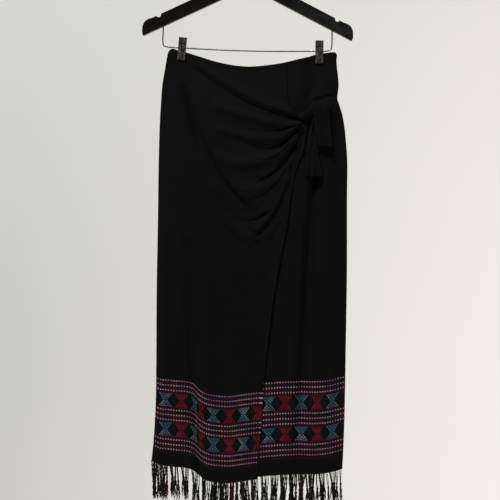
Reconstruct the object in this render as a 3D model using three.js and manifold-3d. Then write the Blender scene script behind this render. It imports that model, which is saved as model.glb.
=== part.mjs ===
// A long wrap skirt with a side tie and a knotted fringe, held at the waist by two clips on a
// wooden trouser hanger. Millimetres, +Z up; the front of the skirt faces -Y and +X is to the
// right of someone who looks at it. The origin is where a rail touches the inside of the hook.
import * as THREE from 'three';
import { mergeVertices } from 'three/addons/utils/BufferGeometryUtils.js';
import Module from 'manifold-3d';

const wasm = await Module();
wasm.setup();

// ---------------------------------------------------------------- driving dimensions: cloth

const CLOTH = 1.8; // wall thickness of one layer
const GAP = 0.3; // clear space between two pieces that meet
const LAYER_STEP = 2.8; // how far the wrap panel stands in front of the panel beneath it
const CLOTH_DROP = 870; // waist to hem, used to scale the depth of the hollow
const HIDDEN_EDGE = -74; // left edge of the under panel, behind the wrap panel
const COVER_START = -118; // the wrap panel starts to step forward here
const COVER_FULL = -88; // and stands a whole layer forward from here on
const SECTION_POWER = 4.5; // how square the flattened tube is, seen from above

// The waist's top edge, which sags between the two clips.
const WAIST_EDGE = [
  { across: -173.0, height: -238.4 },
  { across: -163.5, height: -228.5 },
  { across: -154.0, height: -232.5 },
  { across: -130.8, height: -238.4 },
  { across: -105.5, height: -246.9 },
  { across: -80.2, height: -255.3 },
  { across: -54.9, height: -261.6 },
  { across: -29.5, height: -265.9 },
  { across: 0.0, height: -268.0 },
  { across: 46.4, height: -263.8 },
  { across: 71.7, height: -259.5 },
  { across: 97.1, height: -253.2 },
  { across: 122.4, height: -246.9 },
  { across: 141.4, height: -241.2 },
  { across: 160.4, height: -238.4 },
  { across: 183.6, height: -236.3 },
];

// The hem of the wrap panel drops beside its long fold.
const OVER_HEM = [
  { across: -207.6, height: -1097.2 },
  { across: -190.0, height: -1105.0 },
  { across: -160.0, height: -1107.8 },
  { across: -135.0, height: -1109.0 },
  { across: -120.0, height: -1114.0 },
  { across: -108.0, height: -1124.5 },
  { across: -97.0, height: -1131.5 },
  { across: -80.0, height: -1136.6 },
  { across: -46.0, height: -1140.0 },
  { across: -21.0, height: -1136.6 },
  { across: 16.0, height: -1132.2 },
];

const UNDER_HEM = [
  { across: -80.0, height: -1122.4 },
  { across: 10.0, height: -1127.4 },
  { across: 38.0, height: -1125.4 },
  { across: 72.0, height: -1123.1 },
  { across: 139.0, height: -1122.4 },
  { across: 169.0, height: -1120.4 },
  { across: 195.0, height: -1114.4 },
];

const BACK_HEM = [
  { across: -207.6, height: -1097.2 },
  { across: -150.0, height: -1104.0 },
  { across: -60.0, height: -1114.0 },
  { across: 60.0, height: -1119.0 },
  { across: 150.0, height: -1118.0 },
  { across: 195.0, height: -1114.4 },
];

// Side seams and the free edge of the wrap panel: place across, by distance down the edge.
const LEFT_SEAM = [
  { down: 0, across: -173.0 },
  { down: 15, across: -176.2 },
  { down: 32, across: -178.9 },
  { down: 65, across: -184.6 },
  { down: 99, across: -187.4 },
  { down: 150, across: -190.3 },
  { down: 226, across: -192.6 },
  { down: 352, across: -194.3 },
  { down: 504, across: -196.9 },
  { down: 656, across: -197.7 },
  { down: 732, across: -198.8 },
  { down: 808, across: -202.8 },
  { down: 859, across: -207.6 },
];

const RIGHT_SEAM = [
  { down: 0, across: 183.6 },
  { down: 17, across: 182.6 },
  { down: 51, across: 186.3 },
  { down: 68, across: 186.8 },
  { down: 92, across: 184.0 },
  { down: 102, across: 186.7 },
  { down: 127, across: 194.5 },
  { down: 152, across: 199.0 },
  { down: 177, across: 201.7 },
  { down: 228, across: 205.3 },
  { down: 304, across: 204.7 },
  { down: 456, across: 204.5 },
  { down: 608, across: 202.3 },
  { down: 760, across: 199.6 },
  { down: 836, across: 197.1 },
  { down: 882, across: 194.7 },
];

const FREE_EDGE = [
  { down: 0, across: 78.1 },
  { down: 51, across: 78.1 },
  { down: 88, across: 80.2 },
  { down: 105, across: 88.0 },
  { down: 116, across: 97.0 },
  { down: 124, across: 108.0 },
  { down: 130, across: 116.0 },
  { down: 141, across: 120.0 },
  { down: 162, across: 118.0 },
  { down: 184, across: 114.0 },
  { down: 200, across: 110.0 },
  { down: 215, across: 103.4 },
  { down: 232, across: 97.0 },
  { down: 255, across: 90.7 },
  { down: 295, across: 83.3 },
  { down: 342, across: 77.4 },
  { down: 411, across: 63.3 },
  { down: 483, across: 50.6 },
  { down: 536, across: 43.9 },
  { down: 606, across: 35.2 },
  { down: 662, across: 29.5 },
  { down: 774, across: 22.2 },
  { down: 873, across: 14.8 },
];

// Half depth of the hollow in front of and behind the plane of the clips.
const HOLLOW = [
  { down: 0, front: 6, back: 5 },
  { down: 60, front: 12, back: 9 },
  { down: 130, front: 17, back: 14 },
  { down: 300, front: 22, back: 19 },
  { down: 600, front: 25, back: 22 },
  { down: 880, front: 28, back: 25 },
];

// Each fold is an arc from its start, by its bow point, to its end, as places across and high. out
// is how far the cloth stands out along it (in, where negative), width its half width, and first
// and last how strong it is at its two ends.
const OVER_FOLDS = [
  { out: -11, width: 8, start: [-116, -272], bow: [10, -373], end: [97, -380], first: 0.4, last: 1 },
  { out: 8, width: 10, start: [-120, -256], bow: [14, -351], end: [97, -366], first: 0.3, last: 1 },
  { out: 12, width: 12, start: [-70, -350], bow: [40, -398], end: [97, -384], first: 0.4, last: 0.7 },
  { out: 13, width: 12, start: [-60, -402], bow: [50, -446], end: [97, -390], first: 0.4, last: 0.8 },
  { out: 14, width: 15, start: [-60, -462], bow: [40, -498], end: [94, -405], first: 0.4, last: 0.8 },
  { out: 13, width: 18, start: [-66, -520], bow: [30, -566], end: [90, -440], first: 0.4, last: 0.8 },
  { out: -5, width: 8, start: [-36, -388], bow: [56, -426], end: [95, -387], first: 0.3, last: 1 },
  { out: -9, width: 8, start: [-21, -424], bow: [46, -476], end: [93, -402], first: 0.4, last: 1 },
  { out: -10, width: 9, start: [20, -510], bow: [62, -496], end: [89, -440], first: 0.4, last: 1 },
  { out: -12, width: 13, start: [-141, -312], bow: [-104, -500], end: [4, -576], first: 0.5, last: 0.9 },
  { out: 8, width: 15, start: [-114, -330], bow: [-78, -470], end: [5, -546], first: 0.5, last: 0.6 },
  { out: -8, width: 12, start: [-15, -590], bow: [28, -614], end: [68, -555], first: 0.6, last: 0.8 },
  { out: 6, width: 13, start: [-52, -594], bow: [-8, -642], end: [40, -616], first: 0.5, last: 0.5 },
  { out: -6, width: 12, start: [-46, -624], bow: [-8, -672], end: [22, -648], first: 0.5, last: 0.6 },
  { out: -11, width: 13, start: [-132, -640], bow: [-128, -820], end: [-104, -1135], first: 0.3, last: 1 },
  { out: 8, width: 18, start: [-106, -700], bow: [-100, -850], end: [-78, -1140], first: 0.3, last: 1 },
  { out: -6, width: 12, start: [-169, -640], bow: [-168, -800], end: [-174, -1100], first: 0.4, last: 0.9 },
  { out: 5, width: 20, start: [-30, -760], bow: [-26, -940], end: [-24, -1140], first: 0.3, last: 1 },
];

const UNDER_FOLDS = [
  { out: -9, width: 13, start: [134, -500], bow: [112, -720], end: [98, -1128], first: 0.8, last: 0.8 },
  { out: 6, width: 17, start: [160, -480], bow: [142, -740], end: [134, -1128], first: 0.6, last: 0.7 },
  { out: -5, width: 11, start: [185, -420], bow: [178, -700], end: [170, -1124], first: 0.5, last: 0.8 },
  { out: -6, width: 10, start: [139, -272], bow: [136, -300], end: [124, -334], first: 0.6, last: 0.8 },
  { out: 4, width: 10, start: [160, -262], bow: [152, -300], end: [146, -335], first: 0.4, last: 0.9 },
];

const BACK_FOLDS = [
  { out: -6, width: 16, start: [-118, -300], bow: [-112, -700], end: [-92, -1112], first: 0.4, last: 0.9 },
  { out: 4, width: 22, start: [-58, -330], bow: [-52, -700], end: [-40, -1116], first: 0.3, last: 0.9 },
  { out: -5, width: 18, start: [22, -340], bow: [6, -720], end: [18, -1118], first: 0.4, last: 1 },
  { out: 4, width: 20, start: [84, -320], bow: [76, -700], end: [70, -1120], first: 0.3, last: 0.8 },
  { out: -6, width: 15, start: [142, -290], bow: [128, -640], end: [134, -1121], first: 0.4, last: 0.9 },
];

// How finely each panel is divided. A band of rows reaches down to a share of the drop, and the
// rows of the wrap panel lie close together where it is draped towards the knot.
const PANEL_STEPS = {
  over: { across: 23, bands: [{ to: 0.06, rows: 3 }, { to: 0.44, rows: 26 }, { to: 1, rows: 12 }] },
  under: { across: 14, bands: [{ to: 0.12, rows: 6 }, { to: 1, rows: 18 }] },
  back: { across: 18, bands: [{ to: 0.15, rows: 5 }, { to: 1, rows: 13 }] },
};

// ---------------------------------------------------------------- driving dimensions: tie

const TIE_WALL = 2.2; // the tie is a folded strip, two layers thick
const TIE_LIFT = 0.6; // clear space between the right run and the panel it lies on

const RIGHT_RUN = [
  { across: 132, top: -347, bottom: -363 },
  { across: 146, top: -339, bottom: -366 },
  { across: 160, top: -334, bottom: -366 },
  { across: 174, top: -332, bottom: -366 },
  { across: 184, top: -332, bottom: -367 },
];
const RIGHT_RUN_PUCKER = 1.1;
const RIGHT_RUN_PUCKERS = 3;

const LEFT_RUN = [
  { across: 108.6, depth: -27.0, height: -364.0, halfTall: 8.0, halfDeep: 3.4 },
  { across: 112.0, depth: -27.0, height: -363.0, halfTall: 7.0, halfDeep: 4.0 },
  { across: 118.0, depth: -26.5, height: -361.5, halfTall: 6.6, halfDeep: 4.6 },
  { across: 125.0, depth: -26.0, height: -360.5, halfTall: 7.6, halfDeep: 4.8 },
];

const KNOT = [
  { across: 125.6, depth: -26.0, height: -360.2, halfTall: 7.4, halfDeep: 4.6 },
  { across: 131.0, depth: -26.0, height: -360.0, halfTall: 9.6, halfDeep: 5.4 },
  { across: 140.0, depth: -26.0, height: -360.0, halfTall: 10.6, halfDeep: 5.6 },
  { across: 152.0, depth: -26.0, height: -359.5, halfTall: 10.4, halfDeep: 5.6 },
  { across: 162.0, depth: -25.4, height: -358.5, halfTall: 8.8, halfDeep: 5.0 },
  { across: 167.0, depth: -24.4, height: -357.5, halfTall: 6.0, halfDeep: 3.6 },
];

// Tails: centre line, how wide the strip is there and how far its middle stands out.
const TAIL_FRONT = [
  { across: 146.2, depth: -24.0, height: -346.6, wide: 31, crown: 0.5 },
  { across: 146.4, depth: -30.0, height: -343.6, wide: 33, crown: 0.8 },
  { across: 146.8, depth: -35.4, height: -348.0, wide: 34, crown: 1.2 },
  { across: 147.4, depth: -37.0, height: -358.0, wide: 34, crown: 1.5 },
  { across: 149.6, depth: -36.6, height: -378.0, wide: 34, crown: 2.0 },
  { across: 152.6, depth: -34.4, height: -404.0, wide: 32, crown: 2.4 },
  { across: 156.6, depth: -31.6, height: -437.0, wide: 29, crown: 2.6 },
];

const TAIL_BACK = [
  { across: 139.0, depth: -28.0, height: -372.4, wide: 15, crown: 1.0 },
  { across: 136.0, depth: -28.0, height: -396.0, wide: 18, crown: 2.2 },
  { across: 133.0, depth: -27.0, height: -424.0, wide: 20, crown: 2.6 },
  { across: 132.0, depth: -26.6, height: -448.0, wide: 22, crown: 2.6 },
  { across: 132.6, depth: -26.4, height: -474.0, wide: 31, crown: 2.0 },
  { across: 133.4, depth: -26.4, height: -500.0, wide: 37, crown: 1.6 },
];
const TAIL_STEPS_ACROSS = 6;
const RING_SIDES = 12;

// ---------------------------------------------------------------- driving dimensions: fringe

const FRINGE = {
  spacing: 10.5, // one knotted lock of warp ends
  stripTall: 3.2,
  strand: 1.5, // radius of the twisted part
  knot: 2.5, // radius of the knot
  tuft: 2.0, // radius of the loose ends below it
  toKnot: 37, // hem to knot
  length: 78, // hem to the loose ends
  uneven: 5, // how much the locks differ in length
};

// ---------------------------------------------------------------- driving dimensions: hanger

const TILT = THREE.MathUtils.degToRad(1.45); // the hanger hangs a little lower on its right
const HANGER = {
  halfWidth: 222.5,
  apexTop: -70.5,
  apexBottom: -100,
  tipInside: 219, // where the arm's lower edge ends
  tipBottom: -207.7,
  endRadius: 11,
  apexRadius: 26, // half width of the rounded apex
  thickness: 13,
  edgeRound: 2.4,
  notchAt: 188,
  notchWide: 10,
  notchDeep: 5.5,
};
const HOOK = { wire: 1.9, loop: 22, shankBottom: -92, endAngle: 205, steps: 30 };
const BAR = { wire: 1.5, halfSpan: 178, height: -229, sag: 5, corner: 7, intoWood: 9, steps: 48 };
const WIRE_SIDES = 8;

const CLIPS = [
  { side: 'left', across: -143.1, lean: 5 },
  { side: 'right', across: 146.4, lean: 0.5 },
];
const PINCH = { flat: 15, reach: 46, downFlat: 24, downReach: 110 };
const JAW = {
  wide: 17,
  sheet: 1.1, // thickness of the stamped sheet
  up: 21.6, // handle above the bar
  down: 26, // jaw below the bar
  spread: 6.2, // half distance between the handles' tops
  atBar: 4.6, // half distance between the plates at the bar
  slotWide: 12.4,
  slotTall: 2.6,
  slotUp: 8,
  earTall: 8,
  earBelow: 5,
  barHole: 2.6, // radius; roomy, so that the clip can lean on the bar
};
const PAD = { wide: 16.6, tall: 11, thick: 2, up: -1.4 };
const SPRING = { inner: 2.6, outer: 3.8, ripple: 0.5, half: 5.4, coils: 5, stepsPerCoil: 3, sides: 8 };

// ---------------------------------------------------------------- finishes

const FINISH = {
  cloth: { color: 0x0b0b0c, roughness: 0.9, metalness: 0 },
  fringe: { color: 0x101012, roughness: 0.9, metalness: 0 },
  wood: { color: 0x0d0b0b, roughness: 0.45, metalness: 0 },
  steel: { color: 0xa9a7a2, roughness: 0.3, metalness: 1 },
  clip: { color: 0x6d675c, roughness: 0.38, metalness: 1 },
  rubber: { color: 0x15130f, roughness: 0.8, metalness: 0 },
};

// ---------------------------------------------------------------- small helpers

function mix(a, b, t) {
  return a + (b - a) * t;
}

// 1 up to start, 0 from end on, and an even slope between.
function fadeOut(value, start, end) {
  const t = Math.min(Math.max((value - start) / (end - start), 0), 1);
  return 1 - t * t * (3 - 2 * t);
}

// A smooth curve through one column of a table, read by another column.
function curveOf(table, input, output) {
  const last = table.length - 1;
  function slope(i) {
    const before = table[Math.max(i - 1, 0)];
    const after = table[Math.min(i + 1, last)];
    return (after[output] - before[output]) / (after[input] - before[input]);
  }
  return function read(value) {
    const inside = Math.min(Math.max(value, table[0][input]), table[last][input]);
    let i = 0;
    while (i < last - 1 && inside > table[i + 1][input]) {
      i += 1;
    }
    const span = table[i + 1][input] - table[i][input];
    const t = (inside - table[i][input]) / span;
    const ease = t * t * (3 - 2 * t);
    const leave = span * slope(i) * t * (1 - t) * (1 - t);
    const arrive = span * slope(i + 1) * t * t * (t - 1);
    return mix(table[i][output], table[i + 1][output], ease) + leave + arrive;
  };
}

// A repeatable unevenness from -1 to 1 for the n-th piece.
function uneven(n, salt) {
  return Math.sin(n * 12.9898 + salt * 78.233);
}

function meshOf(name, geometry, finish) {
  const mesh = new THREE.Mesh(geometry, new THREE.MeshStandardMaterial(finish));
  mesh.name = name;
  return mesh;
}

// A closed body from vertices and triangles, turned so that its faces point out.
function bodyOf(points, triangles) {
  let volume = 0;
  for (const [a, b, c] of triangles) {
    volume += points[a].dot(points[b].clone().cross(points[c]));
  }
  const index = [];
  for (const [a, b, c] of triangles) {
    if (volume > 0) {
      index.push(a, b, c);
    } else {
      index.push(a, c, b);
    }
  }
  const geometry = new THREE.BufferGeometry();
  geometry.setAttribute('position', new THREE.Float32BufferAttribute(points.flatMap((p) => p.toArray()), 3));
  geometry.setIndex(index);
  return geometry;
}

// A wall between two grids of points of the same size, closed along its four edges.
function wallBetween(outer, inner) {
  const rows = outer.length;
  const columns = outer[0].length;
  const points = [...outer.flat(), ...inner.flat()];
  const back = rows * columns;
  const triangles = [];
  function quad(a, b, c, d) {
    triangles.push([a, b, c], [a, c, d]);
  }
  function at(row, column) {
    return row * columns + column;
  }
  for (let r = 0; r < rows - 1; r += 1) {
    for (let c = 0; c < columns - 1; c += 1) {
      quad(at(r, c), at(r + 1, c), at(r + 1, c + 1), at(r, c + 1));
      quad(back + at(r, c), back + at(r, c + 1), back + at(r + 1, c + 1), back + at(r + 1, c));
    }
  }
  for (let r = 0; r < rows - 1; r += 1) {
    const far = columns - 1;
    quad(at(r, 0), back + at(r, 0), back + at(r + 1, 0), at(r + 1, 0));
    quad(at(r, far), at(r + 1, far), back + at(r + 1, far), back + at(r, far));
  }
  for (let c = 0; c < columns - 1; c += 1) {
    const low = rows - 1;
    quad(at(0, c), at(0, c + 1), back + at(0, c + 1), back + at(0, c));
    quad(at(low, c), back + at(low, c), back + at(low, c + 1), at(low, c + 1));
  }
  return bodyOf(points, triangles);
}

// The grid moved by a distance against its own normals. facing is a point of view from which
// the outer side is seen.
function movedIn(grid, distance, facing) {
  const rows = grid.length;
  const columns = grid[0].length;
  return grid.map((row, r) => row.map((point, c) => {
    const down = grid[Math.min(r + 1, rows - 1)][c].clone().sub(grid[Math.max(r - 1, 0)][c]);
    const along = row[Math.min(c + 1, columns - 1)].clone().sub(row[Math.max(c - 1, 0)]);
    const normal = down.cross(along).normalize();
    if (normal.dot(facing) < 0) {
      normal.negate();
    }
    return point.clone().addScaledVector(normal, -distance);
  }));
}

// A closed skin over rings of points, with a flat cap on the first and the last.
function skinOver(rings) {
  const sides = rings[0].length;
  const points = rings.flat();
  const triangles = [];
  for (let r = 0; r < rings.length - 1; r += 1) {
    for (let s = 0; s < sides; s += 1) {
      const a = r * sides + s;
      const b = r * sides + ((s + 1) % sides);
      triangles.push([a, b, b + sides], [a, b + sides, a + sides]);
    }
  }
  const lastRing = (rings.length - 1) * sides;
  for (let s = 1; s < sides - 1; s += 1) {
    triangles.push([0, s + 1, s], [lastRing, lastRing + s, lastRing + s + 1]);
  }
  return bodyOf(points, triangles);
}

function solidOf(geometry) {
  const plain = geometry.clone();
  plain.deleteAttribute('normal');
  plain.deleteAttribute('uv');
  const merged = mergeVertices(plain, 1e-4);
  return new wasm.Manifold(new wasm.Mesh({
    numProp: 3,
    vertProperties: new Float32Array(merged.attributes.position.array),
    triVerts: new Uint32Array(merged.index.array),
  }));
}

function geometryOf(solid) {
  const mesh = solid.getMesh();
  const geometry = new THREE.BufferGeometry();
  geometry.setAttribute('position', new THREE.BufferAttribute(new Float32Array(mesh.vertProperties), 3));
  geometry.setIndex(new THREE.BufferAttribute(new Uint32Array(mesh.triVerts), 1));
  return geometry;
}

function joined(geometries) {
  return geometries.map(solidOf).reduce((whole, piece) => whole.add(piece));
}

// ---------------------------------------------------------------- the skirt's surfaces

const waistAt = curveOf(WAIST_EDGE, 'across', 'height');
const overHemAt = curveOf(OVER_HEM, 'across', 'height');
const underHemAt = curveOf(UNDER_HEM, 'across', 'height');
const backHemAt = curveOf(BACK_HEM, 'across', 'height');
const leftSeamAt = curveOf(LEFT_SEAM, 'down', 'across');
const rightSeamAt = curveOf(RIGHT_SEAM, 'down', 'across');
const freeEdgeAt = curveOf(FREE_EDGE, 'down', 'across');
const frontDepthAt = curveOf(HOLLOW, 'down', 'front');
const backDepthAt = curveOf(HOLLOW, 'down', 'back');

// Where the seams and the free edge lie in a row of the cloth, v from 0 at the waist to 1.
function rowEnds(v) {
  return {
    left: leftSeamAt(v * LEFT_SEAM.at(-1).down),
    right: rightSeamAt(v * RIGHT_SEAM.at(-1).down),
    free: freeEdgeAt(v * FREE_EDGE.at(-1).down),
  };
}

function pinchedByClips(x, v) {
  let held = 0;
  for (const clip of CLIPS) {
    const near = fadeOut(Math.abs(x - clip.across), PINCH.flat, PINCH.reach);
    held = Math.max(held, near * fadeOut(v * CLOTH_DROP, PINCH.downFlat, PINCH.downReach));
  }
  return held;
}

// Distance from the plane of the clips to a panel's outer face, before folds.
function plainDepth(x, v, depthAt) {
  const ends = rowEnds(v);
  const middle = (ends.left + ends.right) / 2;
  const half = (ends.right - ends.left) / 2;
  const off = Math.min(Math.abs(x - middle) / half, 1);
  const hollow = depthAt(v * CLOTH_DROP) * (1 - off ** SECTION_POWER);
  return hollow * (1 - pinchedByClips(x, v));
}

const ARC_STEPS = 14;

// What the folds add to the depth at one place.
function foldOffset(folds, x, z) {
  let total = 0;
  for (const fold of folds) {
    let nearest = Infinity;
    let along = 0;
    for (let step = 0; step <= ARC_STEPS; step += 1) {
      const t = step / ARC_STEPS;
      const [arcX, arcZ] = [0, 1].map((i) => {
        const { start, bow, end } = fold;
        return mix(mix(start[i], bow[i], t), mix(bow[i], end[i], t), t);
      });
      const away = Math.hypot(x - arcX, z - arcZ);
      if (away < nearest) {
        nearest = away;
        along = t;
      }
    }
    const strength = mix(fold.first, fold.last, along);
    total += fold.out * strength * Math.exp(-((nearest / fold.width) ** 2));
  }
  return total;
}

// Folds die out at the side seams, where the two panels are sewn together.
function seamCalm(x, v) {
  const ends = rowEnds(v);
  const fromSeam = Math.min(x - ends.left, ends.right - x);
  return 1 - fadeOut(fromSeam, 0, 22);
}

function overPoint(x, v) {
  const z = mix(waistAt(x), overHemAt(x), v);
  const layer = LAYER_STEP * (1 - fadeOut(x, COVER_START, COVER_FULL));
  const folds = foldOffset(OVER_FOLDS, x, z) * seamCalm(x, v) * (1 - pinchedByClips(x, v));
  // Where the wrap panel lies on the under panel, it can only stand out from it.
  const lying = 1 - fadeOut(x, COVER_START, COVER_FULL);
  const outOnly = (folds + Math.hypot(folds, 2)) / 2;
  const depth = plainDepth(x, v, frontDepthAt) + layer + mix(folds, outOnly, lying);
  return new THREE.Vector3(x, -(GAP / 2 + CLOTH + depth), z);
}

function underPoint(x, v) {
  const z = mix(waistAt(x), underHemAt(x), v);
  const free = rowEnds(v).free;
  const showing = 1 - fadeOut(x, free - 30, free + 6);
  const calm = seamCalm(x, v) * (1 - pinchedByClips(x, v)) * showing;
  const depth = plainDepth(x, v, frontDepthAt) + foldOffset(UNDER_FOLDS, x, z) * calm;
  return new THREE.Vector3(x, -(GAP / 2 + CLOTH + depth), z);
}

function backPoint(x, v) {
  const z = mix(waistAt(x), backHemAt(x), v);
  const calm = seamCalm(x, v) * (1 - pinchedByClips(x, v));
  const depth = plainDepth(x, v, backDepthAt) + foldOffset(BACK_FOLDS, x, z) * calm;
  return new THREE.Vector3(x, GAP / 2 + CLOTH + depth, z);
}

function rowsOf(bands) {
  const rows = [0];
  let from = 0;
  for (const band of bands) {
    for (let i = 1; i <= band.rows; i += 1) {
      rows.push(mix(from, band.to, i / band.rows));
    }
    from = band.to;
  }
  return rows;
}

// A panel's outer grid between two edges that are read row by row.
function panelGrid(point, steps, from, to) {
  return rowsOf(steps.bands).map((v) => {
    const ends = rowEnds(v);
    return Array.from({ length: steps.across + 1 }, (_, i) => {
      const x = mix(from(ends), to(ends), i / steps.across);
      return point(x, v);
    });
  });
}

// A panel's wall. Waist and hem are cut level, and at a seam the edge is cut square, so that the
// two panels meet face to face.
function panelWall(outer, facing, seams) {
  const inner = movedIn(outer, CLOTH, facing);
  for (const row of [0, -1]) {
    inner.at(row).forEach((point, c) => point.setZ(outer.at(row)[c].z));
  }
  for (let r = 0; r < outer.length; r += 1) {
    for (const column of seams) {
      const edge = outer[r].at(column);
      inner[r].at(column).set(edge.x, edge.y - facing.y * CLOTH, edge.z);
    }
  }
  return wallBetween(outer, inner);
}

const FRONT = new THREE.Vector3(0, -1, 0);
const BACK = new THREE.Vector3(0, 1, 0);
const overGrid = panelGrid(overPoint, PANEL_STEPS.over, (e) => e.left, (e) => e.free);
const underGrid = panelGrid(underPoint, PANEL_STEPS.under, () => HIDDEN_EDGE, (e) => e.right);
const backGrid = panelGrid(backPoint, PANEL_STEPS.back, (e) => e.left, (e) => e.right);

function makePanels() {
  return [
    meshOf('over_front', panelWall(overGrid, FRONT, [0]), FINISH.cloth),
    meshOf('under_front', panelWall(underGrid, FRONT, [-1]), FINISH.cloth),
    meshOf('back', panelWall(backGrid, BACK, [0, -1]), FINISH.cloth),
  ];
}

// ---------------------------------------------------------------- the tie

// The right run lies on the under panel, so it is made from that panel's points, moved out.
function makeRightRun() {
  const topAt = curveOf(RIGHT_RUN, 'across', 'top');
  const bottomAt = curveOf(RIGHT_RUN, 'across', 'bottom');
  const first = RIGHT_RUN[0].across;
  const last = RIGHT_RUN.at(-1).across;
  const stepsTall = 8;
  const stepsAlong = 7;
  const grid = Array.from({ length: stepsTall + 1 }, (_, r) => {
    const t = r / stepsTall;
    return Array.from({ length: stepsAlong + 1 }, (__, c) => {
      const x = mix(first, last, c / stepsAlong);
      const z = mix(topAt(x), bottomAt(x), t);
      const v = (z - waistAt(x)) / (underHemAt(x) - waistAt(x));
      const pucker = RIGHT_RUN_PUCKER * (1 + Math.cos(2 * Math.PI * RIGHT_RUN_PUCKERS * t));
      const point = underPoint(x, v);
      point.y -= TIE_LIFT + TIE_WALL + pucker;
      return point;
    });
  });
  const inner = grid.map((row) => row.map((p) => p.clone().add(new THREE.Vector3(0, TIE_WALL, 0))));
  return meshOf('tie_right_run', wallBetween(grid, inner), FINISH.cloth);
}

// Oval rings across X, for the parts of the tie that are drawn together like a rope.
function gatheredRun(name, table) {
  const rings = table.map((row) => Array.from({ length: RING_SIDES }, (_, s) => {
    const angle = (2 * Math.PI * s) / RING_SIDES;
    const y = row.depth + row.halfDeep * Math.cos(angle);
    const z = row.height + row.halfTall * Math.sin(angle);
    return new THREE.Vector3(row.across, y, z);
  }));
  return meshOf(name, skinOver(rings), FINISH.cloth);
}

// A free end of the tie: a flat strip along its centre line, its middle bowed out.
function makeTail(name, table) {
  const grid = table.map((row) => Array.from({ length: TAIL_STEPS_ACROSS + 1 }, (_, c) => {
    const side = (2 * c) / TAIL_STEPS_ACROSS - 1;
    const bow = row.crown * (1 - side * side);
    return new THREE.Vector3(row.across + (side * row.wide) / 2, row.depth - bow, row.height);
  }));
  const inner = movedIn(grid, TIE_WALL, new THREE.Vector3(0, -1, 0.35));
  return meshOf(name, wallBetween(grid, inner), FINISH.cloth);
}

function makeTie() {
  return [
    gatheredRun('tie_left_run', LEFT_RUN),
    makeRightRun(),
    gatheredRun('tie_knot', KNOT),
    makeTail('tie_tail_front', TAIL_FRONT),
    makeTail('tie_tail_back', TAIL_BACK),
  ];
}

// ---------------------------------------------------------------- the fringe

// One lock: a twisted strand, a knot and the loose ends below it.
function fringeLock(x, y, z, n, knotShift) {
  const longer = FRINGE.uneven * uneven(n, 1);
  const sway = 1.3 * uneven(n, 2);
  const knotZ = z - FRINGE.toKnot - knotShift + longer * 0.5;
  const stations = [
    { height: z - 2.2, radius: FRINGE.strand, sway: 0 },
    { height: knotZ + 4.5, radius: FRINGE.strand, sway: sway * 0.7 },
    { height: knotZ, radius: FRINGE.knot, sway },
    { height: knotZ - 5, radius: FRINGE.tuft * 0.8, sway },
    { height: z - FRINGE.length - knotShift + longer, radius: FRINGE.tuft, sway: sway * 1.2 },
  ];
  const rings = stations.map((s) => [0, 1, 2].map((side) => {
    const angle = (2 * Math.PI * side) / 3 + n;
    const beside = s.sway + s.radius * Math.cos(angle);
    return new THREE.Vector3(x + beside, y + s.radius * Math.sin(angle), s.height);
  }));
  return skinOver(rings);
}

// The fringe of one panel: a narrow strip just below the hem, which its locks grow from.
function makeFringe(name, hemRow, facing, firstAt, knotShift) {
  const strip = [GAP, GAP + FRINGE.stripTall].map((drop) => (
    hemRow.map((p) => new THREE.Vector3(p.x, p.y, p.z - drop))
  ));
  const inner = strip.map((row) => (
    row.map((p) => new THREE.Vector3(p.x, p.y - facing.y * CLOTH, p.z))
  ));
  const pieces = [wallBetween(strip, inner)];
  const start = hemRow[0].x + firstAt;
  const end = hemRow.at(-1).x - 3;
  const count = Math.floor((end - start) / FRINGE.spacing);
  for (let n = 0; n <= count; n += 1) {
    const x = start + n * FRINGE.spacing;
    const next = hemRow.findIndex((p) => p.x >= x);
    const a = hemRow[next - 1];
    const b = hemRow[next];
    const t = (x - a.x) / (b.x - a.x);
    const y = mix(a.y, b.y, t) - (facing.y * CLOTH) / 2;
    const z = mix(a.z, b.z, t) - GAP;
    pieces.push(fringeLock(x, y, z, n, knotShift));
  }
  return meshOf(name, geometryOf(joined(pieces)), FINISH.fringe);
}

function makeFringes() {
  const half = FRINGE.spacing / 2;
  return [
    makeFringe('fringe_over', overGrid.at(-1), FRONT, 3.5, 0),
    makeFringe('fringe_under', underGrid.at(-1), FRONT, 3.5, 0),
    makeFringe('fringe_back', backGrid.at(-1), BACK, 3.5 + half, 3),
  ];
}

// ---------------------------------------------------------------- the hanger

function wireAlong(curve, radius, steps) {
  const section = new THREE.Shape();
  section.absarc(0, 0, radius, 0, 2 * Math.PI, false);
  return new THREE.ExtrudeGeometry(section, {
    steps,
    curveSegments: WIRE_SIDES / 2,
    bevelEnabled: false,
    extrudePath: curve,
  });
}

// A round rod across X or along Z, for the holes that are cut.
function rod(radius, length, alongX) {
  const geometry = new THREE.CylinderGeometry(radius, radius, length, 16);
  if (alongX) {
    geometry.rotateZ(Math.PI / 2);
  } else {
    geometry.rotateX(Math.PI / 2);
  }
  return geometry;
}

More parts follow.
